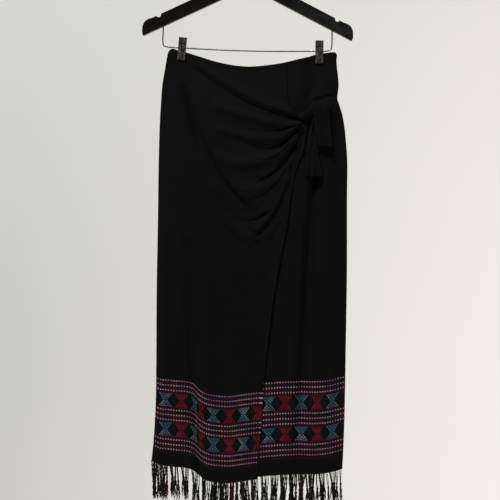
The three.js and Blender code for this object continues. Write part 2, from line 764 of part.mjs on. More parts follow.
// The wooden body: two arms with rounded shoulders, and a strap notch in each.
function makeHangerBody() {
  const h = HANGER;
  const inset = h.edgeRound;
  const slope = (h.apexBottom - h.tipBottom) / h.tipInside;
  function topAt(x) {
    return h.apexTop - slope * Math.abs(x);
  }
  const notchFrom = h.notchAt - h.notchWide / 2;
  const notchTo = h.notchAt + h.notchWide / 2;
  const shoulder = h.halfWidth - h.endRadius;
  // Half of the outline, from the middle of the underside round to the apex. The bevel adds the
  // inset back. A row with a bend curves to its end by way of that point.
  const tip = h.halfWidth - inset;
  const notchFloor = topAt(h.notchAt) - h.notchDeep - inset;
  const half = [
    { x: h.tipInside - inset, z: h.tipBottom + inset * 1.5 },
    { x: tip, z: h.tipBottom + 12, bend: [tip, h.tipBottom + inset * 1.4] },
    { x: shoulder, z: topAt(shoulder) - inset, bend: [tip, topAt(shoulder) - inset * 1.2] },
    { x: notchTo, z: topAt(notchTo) - inset },
    { x: h.notchAt, z: notchFloor, bend: [notchTo, topAt(notchTo) - h.notchDeep] },
    { x: notchFrom, z: topAt(notchFrom) - inset, bend: [notchFrom, topAt(notchFrom) - h.notchDeep - inset] },
    { x: h.apexRadius, z: topAt(h.apexRadius) - inset },
  ];
  const outline = new THREE.Shape();
  outline.moveTo(0, h.apexBottom + inset);
  for (const to of half) {
    if (to.bend) {
      outline.quadraticCurveTo(...to.bend, to.x, to.z);
    } else {
      outline.lineTo(to.x, to.z);
    }
  }
  const apex = half.at(-1);
  outline.quadraticCurveTo(0, h.apexTop + 3 - inset, -apex.x, apex.z);
  for (let i = half.length - 1; i > 0; i -= 1) {
    const { bend } = half[i];
    const to = half[i - 1];
    if (bend) {
      outline.quadraticCurveTo(-bend[0], bend[1], -to.x, to.z);
    } else {
      outline.lineTo(-to.x, to.z);
    }
  }
  outline.closePath();
  const depth = h.thickness - 2 * h.edgeRound;
  const wood = new THREE.ExtrudeGeometry(outline, {
    depth,
    curveSegments: 5,
    bevelThickness: h.edgeRound,
    bevelSize: h.edgeRound,
    bevelSegments: 2,
  });
  wood.translate(0, 0, -depth / 2);
  wood.rotateX(Math.PI / 2);
  let solid = solidOf(wood);
  const hookHole = rod(HOOK.wire + GAP, 60, false);
  hookHole.translate(0, 0, HOOK.shankBottom - GAP + 30);
  solid = solid.subtract(solidOf(hookHole));
  for (const side of [-1, 1]) {
    const hole = rod(BAR.wire + GAP, 40, false);
    const top = h.apexBottom - slope * BAR.halfSpan + BAR.intoWood + GAP;
    hole.translate(side * BAR.halfSpan, 0, top - 20);
    solid = solid.subtract(solidOf(hole));
  }
  return meshOf('hanger_body', geometryOf(solid), FINISH.wood);
}

// The hook: a straight shank in the wood, then most of a circle that ends low on the left.
function makeHook() {
  const centreZ = HOOK.wire - HOOK.loop;
  const neckZ = centreZ - HOOK.loop - 6;
  const points = [HOOK.shankBottom, neckZ - 8, neckZ].map((z) => new THREE.Vector3(0, 0, z));
  const arcSteps = 16;
  for (let i = 0; i <= arcSteps; i += 1) {
    const angle = THREE.MathUtils.degToRad(mix(-52, HOOK.endAngle, i / arcSteps));
    points.push(new THREE.Vector3(HOOK.loop * Math.cos(angle), 0, centreZ + HOOK.loop * Math.sin(angle)));
  }
  const curve = new THREE.CatmullRomCurve3(points, false, 'centripetal');
  return meshOf('hanger_hook', wireAlong(curve, HOOK.wire, HOOK.steps), FINISH.steel);
}

function barHeightAt(x) {
  return BAR.height - BAR.sag * (1 - (x / BAR.halfSpan) ** 2);
}

// The trouser bar: a wire that drops out of each arm, turns a corner and sags between.
function makeBar() {
  const slope = (HANGER.apexBottom - HANGER.tipBottom) / HANGER.tipInside;
  const top = HANGER.apexBottom - slope * BAR.halfSpan + BAR.intoWood;
  const points = [];
  for (const side of [-1, 1]) {
    const column = [
      new THREE.Vector3(side * BAR.halfSpan, 0, top),
      new THREE.Vector3(side * BAR.halfSpan, 0, top - 12),
      new THREE.Vector3(side * BAR.halfSpan, 0, BAR.height + BAR.corner),
      new THREE.Vector3(side * (BAR.halfSpan - BAR.corner * 0.29), 0, BAR.height + BAR.corner * 0.29),
      new THREE.Vector3(side * (BAR.halfSpan - BAR.corner), 0, barHeightAt(BAR.halfSpan - BAR.corner)),
    ];
    if (side < 0) {
      points.push(...column);
      for (const x of [-120, -60, 0, 60, 120]) {
        points.push(new THREE.Vector3(x, 0, barHeightAt(x)));
      }
    } else {
      points.push(...column.reverse());
    }
  }
  const curve = new THREE.CatmullRomCurve3(points, false, 'centripetal');
  return meshOf('hanger_bar', wireAlong(curve, BAR.wire, BAR.steps), FINISH.steel);
}

// ---------------------------------------------------------------- the clips

// One jaw, seen from the side as a bent sheet, with two ears that hang on the bar.
function makeJaw(sign, name) {
  const holdAt = GAP / 2 + CLOTH + GAP + PAD.thick + GAP; // inside of the plate at the cloth
  const profile = new THREE.Shape();
  profile.moveTo(holdAt, -JAW.down);
  profile.lineTo(holdAt, -JAW.down + PAD.tall + 2);
  profile.lineTo(JAW.atBar, -JAW.earBelow);
  profile.lineTo(JAW.atBar, 2);
  profile.lineTo(JAW.spread, JAW.up);
  profile.lineTo(JAW.spread + JAW.sheet, JAW.up);
  profile.lineTo(JAW.atBar + JAW.sheet, 2);
  profile.lineTo(JAW.atBar + JAW.sheet, -JAW.earBelow);
  profile.lineTo(holdAt + JAW.sheet, -JAW.down + PAD.tall + 2);
  profile.lineTo(holdAt + JAW.sheet, -JAW.down);
  profile.closePath();
  const plate = new THREE.ExtrudeGeometry(profile, { depth: JAW.wide, bevelEnabled: false });
  plate.translate(0, 0, -JAW.wide / 2);
  plate.rotateX(Math.PI / 2); // profile height now lies along Z, its depth across Y
  plate.rotateZ(-Math.PI / 2);
  let solid = solidOf(plate);
  // The front jaw's ears lie outside the back jaw's.
  const earX = sign < 0 ? JAW.wide / 2 - JAW.sheet / 2 : JAW.wide / 2 - JAW.sheet * 1.5 - GAP;
  for (const side of [-1, 1]) {
    const ear = new THREE.BoxGeometry(JAW.sheet, JAW.atBar + JAW.sheet / 2 + 3, JAW.earTall);
    ear.translate(side * earX, -(JAW.atBar + JAW.sheet / 2 - 3) / 2, 0);
    solid = solid.add(solidOf(ear));
  }
  solid = solid.subtract(solidOf(rod(JAW.barHole, JAW.wide + 4, true)));
  if (sign < 0) {
    const slot = new THREE.BoxGeometry(JAW.slotWide, 30, JAW.slotTall);
    slot.translate(0, 0, JAW.slotUp);
    solid = solid.subtract(solidOf(slot));
  }
  const geometry = geometryOf(solid);
  if (sign > 0) {
    geometry.rotateZ(Math.PI);
  }
  return meshOf(name, geometry, FINISH.clip);
}

function makePad(sign, name) {
  const pad = new THREE.BoxGeometry(PAD.wide, PAD.thick, PAD.tall);
  const away = GAP / 2 + CLOTH + GAP + PAD.thick / 2;
  pad.translate(0, sign * away, -JAW.down + PAD.up + PAD.tall / 2);
  return meshOf(name, pad, FINISH.rubber);
}

// The spring: a ribbed sleeve of coils round the bar.
function makeSpring(name) {
  const profile = [new THREE.Vector2(SPRING.inner, -SPRING.half)];
  const steps = SPRING.coils * SPRING.stepsPerCoil;
  for (let i = 0; i <= steps; i += 1) {
    const t = i / steps;
    const dip = (SPRING.ripple * (1 + Math.cos(2 * Math.PI * SPRING.coils * t))) / 2;
    profile.push(new THREE.Vector2(SPRING.outer - dip, mix(-SPRING.half, SPRING.half, t)));
  }
  profile.push(new THREE.Vector2(SPRING.inner, SPRING.half));
  profile.push(profile[0].clone());
  const sleeve = new THREE.LatheGeometry(profile, SPRING.sides);
  sleeve.rotateZ(Math.PI / 2);
  return meshOf(name, sleeve, FINISH.clip);
}

function makeClip(clip) {
  // Its place on the bar, from the hanger's own frame.
  const alongBar = clip.across * Math.cos(TILT) - BAR.height * Math.sin(TILT);
  const height = barHeightAt(alongBar) * Math.cos(TILT) - alongBar * Math.sin(TILT);
  const group = new THREE.Group();
  group.position.set(clip.across, 0, height);
  group.rotation.y = THREE.MathUtils.degToRad(clip.lean);
  const prefix = `clip_${clip.side}`;
  group.add(makeJaw(-1, `${prefix}_jaw_front`));
  group.add(makeJaw(1, `${prefix}_jaw_back`));
  group.add(makePad(-1, `${prefix}_pad_front`));
  group.add(makePad(1, `${prefix}_pad_back`));
  group.add(makeSpring(`${prefix}_spring`));
  return group;
}

// ---------------------------------------------------------------- the whole object

const hanger = new THREE.Group();
hanger.rotation.y = TILT;
hanger.add(makeHangerBody(), makeHook(), makeBar());

const skirt = new THREE.Group();
skirt.add(...makePanels(), ...makeTie(), ...makeFringes());

const object = new THREE.Group();
object.add(hanger, skirt, ...CLIPS.map(makeClip));

export default object;
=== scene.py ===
# %% [markdown]
# # A wrap skirt on a clip hanger
# A long, near-black wrap skirt hangs by its waist from two steel clips. Its front is two panels:
# the upper one wraps across from the left seam and is drawn up into a side tie, the lower one
# shows to the right of it. Both end in a woven border and a knotted fringe.
#
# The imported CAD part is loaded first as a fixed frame. Everything below is in its axes: +Z up, the
# front of the skirt towards -Y, the origin inside the top of the hook. Sizes in the tables are
# millimetres, and MM turns them into Blender's metres when a mesh is made.

# %% Load the frame
import math
from collections import namedtuple

import bpy
import numpy as np
from mathutils import Matrix, Vector


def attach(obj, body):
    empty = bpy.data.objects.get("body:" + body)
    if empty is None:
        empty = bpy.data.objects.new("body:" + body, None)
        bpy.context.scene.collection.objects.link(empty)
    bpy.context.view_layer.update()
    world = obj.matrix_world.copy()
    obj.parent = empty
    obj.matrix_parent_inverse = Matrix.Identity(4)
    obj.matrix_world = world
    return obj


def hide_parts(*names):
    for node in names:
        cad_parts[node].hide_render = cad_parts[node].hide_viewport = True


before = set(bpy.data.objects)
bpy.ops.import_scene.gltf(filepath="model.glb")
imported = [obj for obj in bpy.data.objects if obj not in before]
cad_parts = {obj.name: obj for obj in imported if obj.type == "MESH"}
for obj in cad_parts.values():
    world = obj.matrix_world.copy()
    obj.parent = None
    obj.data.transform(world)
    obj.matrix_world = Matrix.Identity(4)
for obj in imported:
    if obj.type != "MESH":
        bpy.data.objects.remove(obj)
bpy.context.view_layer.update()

MM = 0.001

# %% [markdown]
# ## The camera
# The view is square on and level with the middle of the skirt, from a few metres away, so that
# the hem and the waist are seen almost without perspective. An orthographic camera would take the
# last of it out, but then the hanger would look like a drawing. The lens follows from the width
# that the frame has to take in at the plane of the cloth.

# %% Set up the camera
VIEW_WIDTH = 1.055       # metres across the picture, at the cloth
VIEW_CENTRE_Z = -0.654
CAMERA_AWAY = 3.4
SENSOR = 36.0

camera_data = bpy.data.cameras.new("camera")
camera_data.sensor_width = SENSOR
camera_data.lens = SENSOR * CAMERA_AWAY / VIEW_WIDTH
camera = bpy.data.objects.new("camera", camera_data)
camera.location = (0, -CAMERA_AWAY, VIEW_CENTRE_Z)
camera.rotation_euler = (math.radians(90), 0, 0)
bpy.context.scene.collection.objects.link(camera)
bpy.context.scene.camera = camera
print("lens:", round(camera_data.lens, 1), "mm")

# %% [markdown]
# ## Small tools for tables and curves
# A garment is drafted from a few measured places with a smooth line through them. The same idea
# works here: each table has named columns, and a smooth curve is read between its rows. The
# curve is the one the CAD part uses, so that the fine cloth lies on the solid cloth.

# %% Read smooth lines from short tables
def line_through(table, value, column=1, by=0):
    """A smooth line through one column of a table, read by another. value may be an array."""
    rows = np.array([[float(cell) for cell in row] for row in table])
    known, wanted = rows[:, by], rows[:, column]
    last = len(rows) - 1
    before, after = np.maximum(np.arange(last + 1) - 1, 0), np.minimum(np.arange(last + 1) + 1, last)
    slope = (wanted[after] - wanted[before]) / (known[after] - known[before])
    inside = np.clip(value, known[0], known[-1])
    i = np.clip(np.searchsorted(known, inside, side="left") - 1, 0, last - 1)
    span = known[i + 1] - known[i]
    t = (inside - known[i]) / span
    ease = t * t * (3 - 2 * t)
    leave, arrive = span * slope[i] * t * (1 - t) ** 2, span * slope[i + 1] * t * t * (t - 1)
    return wanted[i] + (wanted[i + 1] - wanted[i]) * ease + leave + arrive


def fade_out(value, start, end):
    """1 up to start, 0 from end on, and an even slope between."""
    t = np.clip((value - start) / (end - start), 0, 1)
    return 1 - t * t * (3 - 2 * t)


def mix(a, b, t):
    return a + (b - a) * t


# %% [markdown]
# ## The cut of the skirt
# These lines are the skirt's edges as it hangs: the waist sags between the clips, the seams
# swell over the hip, and the free edge of the wrap panel runs in to the tie and then away to the
# left. Laid flat they are the pattern pieces, a little eased at the waist.

# %% Waist, hems, seams and the free edge
WAIST = [  # across, height
    (-173.0, -238.4), (-169.5, -232.4), (-164.0, -229.6), (-158.0, -230.6), (-152.0, -233.2),
    (-130.8, -238.4), (-105.5, -246.9), (-80.2, -255.3), (-54.9, -261.6), (-29.5, -265.9),
    (0.0, -268.0), (46.4, -263.8), (71.7, -259.5), (97.1, -253.2), (122.4, -246.9), (141.4, -241.2),
    (160.4, -238.4), (176.0, -237.0), (181.0, -238.4), (183.6, -242.6),
]
OVER_HEM = [
    (-207.6, -1097.2), (-190.0, -1105.0), (-160.0, -1107.8), (-135.0, -1109.0), (-120.0, -1114.0),
    (-108.0, -1124.5), (-97.0, -1131.5), (-80.0, -1136.6), (-46.0, -1140.0), (-21.0, -1136.6),
    (16.0, -1132.2),
]
UNDER_HEM = [
    (-80.0, -1122.4), (10.0, -1127.4), (38.0, -1125.4), (72.0, -1123.1), (139.0, -1122.4),
    (169.0, -1120.4), (195.0, -1114.4),
]
BACK_HEM = [
    (-207.6, -1097.2), (-150.0, -1104.0), (-60.0, -1114.0), (60.0, -1119.0), (150.0, -1118.0),
    (195.0, -1114.4),
]
LEFT_SEAM = [  # down, across
    (0, -173.0), (15, -176.2), (32, -178.9), (65, -184.6), (99, -187.4), (150, -190.3), (226, -192.6),
    (352, -194.3), (504, -196.9), (656, -197.7), (732, -198.8), (808, -202.8), (859, -207.6),
]
RIGHT_SEAM = [
    (0, 183.6), (17, 182.6), (51, 186.3), (68, 186.8), (92, 184.0), (102, 186.7), (127, 194.5),
    (152, 199.0), (177, 201.7), (228, 205.3), (304, 204.7), (456, 204.5), (608, 202.3), (760, 199.6),
    (836, 197.1), (882, 194.7),
]
FREE_EDGE = [
    (0, 78.1), (51, 78.1), (88, 80.2), (105, 88.0), (116, 97.0), (124, 108.0), (130, 116.0),
    (141, 120.0), (162, 118.0), (184, 114.0), (200, 110.0), (215, 103.4), (232, 97.0), (255, 90.7),
    (295, 83.3), (342, 77.4), (411, 63.3), (483, 50.6), (536, 43.9), (606, 35.2), (662, 29.5),
    (774, 22.2), (873, 14.8),
]
HOLLOW = [  # down, half depth in front of the clips' plane, half depth behind it
    (0, 6, 5), (60, 12, 9), (130, 17, 14), (300, 22, 19), (600, 25, 22), (880, 28, 25),
]
CLIP_ACROSS = (-143.1, 146.4)  # the middle of each clip
CLOTH_DROP = 870         # the fall that places down the hollow are counted in
WAIST_TO_HEM = 875.0     # along the cloth, for rows of stitches
SOLID_CLOTH = 1.8        # the CAD wall, whose outer face the fine cloth takes
GAP = 0.3                # room between the walls of front and back where they meet
LAYER_STEP = 2.8         # the wrap panel's face above the face of the panel below
HIDDEN_EDGE = -74        # left edge of the panel below, behind the wrap panel
COVER = (-118, -88)      # over this stretch the wrap panel comes to lie on it
SECTION_POWER = 4.5      # how flat the hollow's two sides are, seen from above
GRIP_ACROSS = (15, 46)   # from the middle of a clip: its full grip, and where it ends
GRIP_DOWN = (24, 110)    # the same, down from the waist
SEAM_STAY = 22           # folds die out within this distance of a side seam

# %% [markdown]
# ## The hollow and how the clips pinch it
# Seen from above the hanging skirt is a flat lens: the two sides meet at the seams and stand a few
# centimetres apart in the middle. At each clip front and back are squeezed together. Every panel
# is made from the same function, so the layers follow each other as real layers do.

# %% Depth of a panel before its folds
def row_ends(v):
    """Where the left seam, the right seam and the free edge lie in a row, v from 0 to 1."""
    return [line_through(table, v * table[-1][0]) for table in (LEFT_SEAM, RIGHT_SEAM, FREE_EDGE)]


def height_of(hem, x, v):
    """Height of a place that is v of the way from the waist down to a hem."""
    return mix(line_through(WAIST, x), line_through(hem, x), v)


def pinched(x, v):
    """1 where a clip squeezes front and back together, 0 where the cloth is free."""
    held = np.zeros_like(x)
    for clip in CLIP_ACROSS:
        near = fade_out(np.abs(x - clip), *GRIP_ACROSS)
        held = np.maximum(held, near * fade_out(v * CLOTH_DROP, *GRIP_DOWN))
    return held


def plain_depth(x, v, column):
    """How far a panel stands from the clips' plane; column 1 is the front, 2 the back."""
    left, right, _ = row_ends(v)
    off = np.minimum(np.abs(x - (left + right) / 2) / ((right - left) / 2), 1)
    hollow = line_through(HOLLOW, v * CLOTH_DROP, column) * (1 - off**SECTION_POWER)
    return hollow * (1 - pinched(x, v))


def seam_calm(x, v):
    """0 at the side seams, where folds die out, and 1 away from them."""
    left, right, _ = row_ends(v)
    return 1 - fade_out(np.minimum(x - left, right - x), 0, SEAM_STAY)


# %% [markdown]
# ## Folds placed one by one
# The wrap panel is drawn up to one hip, so its cloth hangs in swags that all run towards the
# knot, and long soft folds fall from there to the hem. Simulation would give some folds, but not
# these. So each is laid as an arc: a start, a bow point and an end. The broad ones
# follow those of the solid, and the creases add the sharp side that catches the light.

# %% Tables of broad folds
# How far a fold stands out (less than nothing is a valley), its half width, the three points of
# its arc as (across, height), and its strength at the first and the last end.
Fold = namedtuple("Fold", "out width start bow end first last")
OVER_FOLDS = [
    Fold(-11, 8, (-116, -272), (10, -373), (97, -380), 0.4, 1.0),
    Fold(8, 10, (-120, -256), (14, -351), (97, -366), 0.3, 1.0),
    Fold(12, 12, (-70, -350), (40, -398), (97, -384), 0.4, 0.7),
    Fold(13, 12, (-60, -402), (50, -446), (97, -390), 0.4, 0.8),
    Fold(14, 15, (-60, -462), (40, -498), (94, -405), 0.4, 0.8),
    Fold(13, 18, (-66, -520), (30, -566), (90, -440), 0.4, 0.8),
    Fold(-5, 8, (-36, -388), (56, -426), (95, -387), 0.3, 1.0),
    Fold(-9, 8, (-21, -424), (46, -476), (93, -402), 0.4, 1.0),
    Fold(-10, 9, (20, -510), (62, -496), (89, -440), 0.4, 1.0),
    Fold(-11, 12, (-137, -312), (-96, -492), (8, -588), 0.6, 0.8),
    Fold(5, 13, (-112, -330), (-74, -466), (8, -562), 0.6, 0.6),
    Fold(-8, 12, (-15, -590), (28, -614), (68, -555), 0.6, 0.8),
    Fold(6, 13, (-52, -594), (-8, -642), (40, -616), 0.5, 0.5),
    Fold(-6, 12, (-46, -624), (-8, -672), (22, -648), 0.5, 0.6),
    Fold(-11, 13, (-132, -640), (-128, -820), (-104, -1135), 0.3, 1.0),
    Fold(8, 18, (-106, -700), (-100, -850), (-78, -1140), 0.3, 1.0),
    Fold(-6, 12, (-169, -640), (-168, -800), (-174, -1100), 0.4, 0.9),
    Fold(5, 20, (-30, -760), (-26, -940), (-24, -1140), 0.3, 1.0),
]
UNDER_FOLDS = [
    Fold(-9, 13, (134, -500), (112, -720), (98, -1128), 0.8, 0.8),
    Fold(6, 17, (160, -480), (142, -740), (134, -1128), 0.6, 0.7),
    Fold(-5, 11, (185, -420), (178, -700), (170, -1124), 0.5, 0.8),
    Fold(-6, 10, (139, -272), (136, -300), (124, -334), 0.6, 0.8),
    Fold(4, 10, (160, -262), (152, -300), (146, -335), 0.4, 0.9),
]
BACK_FOLDS = [
    Fold(-6, 16, (-118, -300), (-112, -700), (-92, -1112), 0.4, 0.9),
    Fold(4, 22, (-58, -330), (-52, -700), (-40, -1116), 0.3, 0.9),
    Fold(-5, 18, (22, -340), (6, -720), (18, -1118), 0.4, 1.0),
    Fold(4, 20, (84, -320), (76, -700), (70, -1120), 0.3, 0.8),
    Fold(-6, 15, (142, -290), (128, -640), (134, -1121), 0.4, 0.9),
]

# %% Distance from an arc
ARC_STEPS = 28


def from_arc(fold, x, z):
    """Signed distance from a fold's arc (positive on its left as it runs) and the place along."""
    t = np.linspace(0, 1, ARC_STEPS + 1)[:, None]
    start, bow, end = (np.array(p, dtype=float) for p in (fold.start, fold.bow, fold.end))
    arc = (1 - t) ** 2 * start + 2 * t * (1 - t) * bow + t**2 * end
    best = np.full(x.shape, np.inf)
    signed, along = np.zeros(x.shape), np.zeros(x.shape)
    for i in range(ARC_STEPS):
        run = arc[i + 1] - arc[i]
        length = np.hypot(*run)
        toX, toZ = x - arc[i][0], z - arc[i][1]
        place = np.clip((toX * run[0] + toZ * run[1]) / length**2, 0, 1)
        away = np.hypot(toX - place * run[0], toZ - place * run[1])
        side = np.sign(run[0] * toZ - run[1] * toX)
        closer = away < best
        best = np.where(closer, away, best)
        signed = np.where(closer, side * away, signed)
        along = np.where(closer, (i + place) / ARC_STEPS, along)
    return signed, along


def broad_folds(folds, x, z):
    """The depth that all the folds of a table add at each place."""
    total = np.zeros_like(x)
    for fold in folds:
        away, along = from_arc(fold, x, z)
        total += fold.out * mix(fold.first, fold.last, along) * np.exp(-((away / fold.width) ** 2))
    return total


# %% [markdown]
# A crease has one soft side and one sharp side. Above a swag's crease the cloth rolls out into a
# ridge and tucks in under itself, below it the cloth lies back slowly. That one-sided shape is
# what makes the thin dark lines in black cloth, where colour shows nothing. Each row of these
# tables gives how far the ridge rises and over what width, how deep and how sharp the tuck is,
# the arc it follows, and how strong it is at its first and last end.

# %% Tables of creases
Crease = namedtuple("Crease", "rise soft depth sharp start bow end first last")
OVER_CREASES = [
    Crease(5.0, 6, 7.5, 2.2, (-118, -268), (-4, -366), (103, -380), 0.45, 1.0),
    Crease(1.8, 4, 4.6, 1.5, (46, -406), (80, -403), (101, -392), 0.2, 1.0),
    Crease(1.6, 5, 3.2, 1.9, (-40, -388), (54, -424), (100, -386), 0.0, 1.0),
    Crease(4.0, 6, 8.0, 2.2, (-26, -421), (50, -474), (97, -402), 0.15, 1.0),
    Crease(1.3, 4, 3.0, 1.6, (-4, -456), (44, -488), (92, -420), 0.1, 0.9),
    Crease(4.0, 6, 9.0, 2.4, (12, -513), (62, -498), (93, -434), 0.35, 1.0),
    Crease(1.3, 4, 3.0, 1.8, (-6, -548), (50, -548), (87, -462), 0.1, 0.8),
    Crease(1.5, 4, 3.4, 1.7, (4, -620), (42, -606), (76, -540), 0.3, 0.8),
    Crease(1.2, 4, 2.6, 1.7, (30, -650), (48, -630), (66, -590), 0.2, 0.6),
    Crease(1.0, 4, 2.2, 1.8, (-34, -446), (-8, -462), (16, -468), 0.1, 0.4),
    Crease(1.0, 4, 2.2, 1.8, (-24, -484), (4, -500), (26, -502), 0.1, 0.4),
    Crease(1.0, 4, 2.2, 1.9, (-44, -516), (-16, -536), (8, -538), 0.1, 0.4),
    Crease(8.0, 9, 10.0, 5.0, (-138, -306), (-100, -490), (10, -584), 0.9, 0.6),
    Crease(9.0, 9, 8.0, 3.4, (12, -626), (60, -586), (92, -490), 0.8, 0.8),
    Crease(3.0, 7, 4.0, 2.8, (-36, -584), (4, -610), (44, -568), 0.3, 0.9),
    Crease(2.0, 9, 3.2, 4.8, (-52, -594), (-34, -642), (8, -652), 0.3, 0.7),
    Crease(1.6, 7, 2.6, 3.2, (0, -652), (18, -644), (28, -618), 0.5, 0.2),
    Crease(1.6, 6, 2.6, 3.4, (-60, -560), (-30, -592), (6, -590), 0.3, 0.2),
    Crease(1.4, 6, 2.4, 3.0, (-30, -706), (-10, -716), (12, -706), 0.3, 0.2),
    Crease(1.4, 6, 2.4, 3.4, (-62, -716), (-44, -736), (-20, -732), 0.3, 0.2),
    Crease(1.8, 6, 2.6, 3.0, (-10, -726), (32, -714), (54, -684), 0.3, 0.6),
    Crease(1.8, 7, 2.6, 3.4, (-52, -698), (-32, -740), (12, -756), 0.2, 0.5),
    Crease(1.6, 6, 2.4, 3.0, (-52, -788), (-28, -806), (2, -784), 0.3, 0.4),
    Crease(1.8, 7, 3.0, 3.2, (-134, -268), (-128, -330), (-96, -384), 0.4, 0.2),
    Crease(1.6, 7, 2.6, 3.4, (-150, -270), (-146, -360), (-126, -440), 0.5, 0.2),
    Crease(1.6, 6, 2.6, 3.0, (-60, -334), (-34, -352), (0, -360), 0.1, 0.5),
    Crease(1.4, 5, 2.6, 2.8, (-56, -388), (-44, -398), (-20, -404), 0.1, 0.4),
    Crease(1.6, 4, 4.2, 1.7, (88, -470), (95, -440), (99, -404), 0.2, 1.0),
    Crease(1.6, 4, 4.2, 1.7, (78, -500), (96, -456), (104, -412), 0.2, 1.0),
    Crease(1.6, 4, 4.4, 1.7, (97, -462), (106, -440), (112, -410), 0.5, 1.0),
    Crease(1.2, 4, 3.0, 1.8, (62, -560), (80, -505), (90, -470), 0.1, 0.7),
    Crease(1.2, 6, 2.0, 3.4, (-96, -420), (-66, -446), (-30, -452), 0.2, 0.3),
    Crease(1.2, 6, 2.0, 3.4, (-92, -500), (-60, -530), (-22, -540), 0.2, 0.3),
    Crease(2.6, 8, 5.0, 3.6, (-126, -780), (-124, -930), (-103, -1140), 0.1, 1.0),
    Crease(1.6, 8, 2.6, 4.2, (-134, -560), (-128, -690), (-118, -800), 0.1, 0.5),
    Crease(-1.6, 8, 2.4, 5.0, (-171, -560), (-172, -840), (-178, -1104), 0.3, 0.8),
    Crease(1.2, 9, 1.8, 6.0, (-22, -800), (-20, -950), (-30, -1138), 0.1, 0.5),
    Crease(-1.2, 9, 1.8, 6.0, (-66, -760), (-62, -900), (-64, -1138), 0.1, 0.5),
]
UNDER_CREASES = [
    Crease(-6.0, 15, 11.0, 9.0, (136, -460), (117, -720), (99, -1124), 1.0, 0.5),
    Crease(2.2, 6, 4.2, 3.0, (140, -266), (138, -300), (122, -338), 0.6, 0.8),
    Crease(1.6, 4, 2.4, 2.0, (169, -262), (172, -290), (168, -322), 0.6, 0.8),
    Crease(1.4, 4, 2.2, 2.0, (178, -268), (180, -300), (177, -325), 0.6, 0.6),
    Crease(1.2, 4, 2.0, 1.8, (132, -346), (142, -330), (152, -336), 0.8, 0.8),
    Crease(1.2, 4, 2.0, 1.8, (150, -338), (162, -326), (176, -330), 0.8, 0.8),
    Crease(-1.8, 8, 3.0, 4.0, (190, -400), (188, -640), (176, -1120), 0.7, 0.5),
    Crease(1.4, 8, 2.0, 4.0, (158, -560), (150, -760), (150, -1124), 0.3, 0.6),
    Crease(1.6, 8, 2.6, 4.0, (112, -520), (86, -760), (62, -1128), 0.5, 0.4),
]
BACK_CREASES = [
    Crease(2.0, 8, 3.6, 4.0, (-116, -300), (-112, -700), (-92, -1112), 0.4, 0.9),
    Crease(-1.8, 8, 3.0, 4.0, (22, -360), (6, -720), (18, -1118), 0.3, 0.9),
    Crease(2.0, 8, 3.4, 4.0, (142, -290), (128, -640), (134, -1121), 0.5, 0.9),
    Crease(1.4, 7, 2.6, 3.0, (-140, -262), (-60, -330), (40, -330), 0.7, 0.1),
    Crease(1.4, 7, 2.6, 3.0, (140, -262), (90, -320), (20, -350), 0.7, 0.1),
    Crease(1.2, 6, 2.2, 3.2, (-150, -262), (-152, -330), (-140, -430), 0.8, 0.1),
    Crease(1.2, 6, 2.2, 3.2, (152, -262), (158, -330), (150, -430), 0.8, 0.1),
    Crease(1.2, 8, 2.0, 5.0, (-60, -620), (-52, -860), (-44, -1116), 0.2, 0.7),
    Crease(-1.2, 8, 2.0, 5.0, (80, -560), (72, -800), (66, -1120), 0.2, 0.7),
]


# %% The shape of a crease
LYING_SIDE = 2.2         # a tuck is this much wider on the side that lies back
STARTS_BY, ENDS_FROM = 0.14, 0.86  # along the arc, where a crease is full and where it starts to end
KEEPS_ITS_END = 0.95     # a crease this strong at its last end runs on under the knot or the hem


def creases(table, x, z):
    """The depth that all the creases of a table add at each place."""
    total = np.zeros_like(x)
    for crease in table:
        signed, along = from_arc(crease, x, z)
        strength = mix(crease.first, crease.last, along)
        side = signed if crease.rise > 0 else -signed
        upper = np.maximum(side, 0) / crease.soft
        ridge = abs(crease.rise) * upper * np.exp(1 - upper)
        width = np.where(side < 0, crease.sharp * LYING_SIDE, crease.sharp)
        valley = crease.depth * np.exp(-((signed / width) ** 2))
        starts = np.sqrt(1 - fade_out(along, 0.0, STARTS_BY))
        ends = fade_out(along, ENDS_FROM, 1.0) if crease.last < KEEPS_ITS_END else 1.0
        total += strength * (ridge - valley) * starts * ends
    return total


# %% [markdown]
# ## From functions to cloth
# A panel is a fine grid of points on its surface, made into a mesh and given its thickness with a
# Solidify modifier that works inwards. Two attributes travel with it: the place in the cloth,
# in millimetres, and the place in the weaver's chart, in stitches and picks. The materials use
# those, so the weave follows every fold without any picture.

# %% A turned and stitched edge
WAIST_STITCH = 9.0       # the waist's hem, edge to stitch line
FRONT_STITCH = 6.0       # the free edge's hem
WAIST_SWELL, FRONT_SWELL = 0.5, 0.4  # how thick a fold stands, and how deep its stitches pull
GROOVE_HALF = 1.3


def edge_hem(x, z, free_edge=None):
    """The slight swell of a folded edge and the groove that its stitches pull in."""
    from_waist = line_through(WAIST, x) - z
    swell = WAIST_SWELL * fade_out(from_waist, WAIST_STITCH - 3, WAIST_STITCH + 1)
    groove = WAIST_SWELL * np.exp(-(((from_waist - WAIST_STITCH) / GROOVE_HALF) ** 2))
    if free_edge is not None:
        inside = free_edge - x
        swell = swell + FRONT_SWELL * fade_out(inside, FRONT_STITCH - 2, FRONT_STITCH + 1)
        groove = groove + FRONT_SWELL * np.exp(-(((inside - FRONT_STITCH) / GROOVE_HALF) ** 2))
    return swell - groove


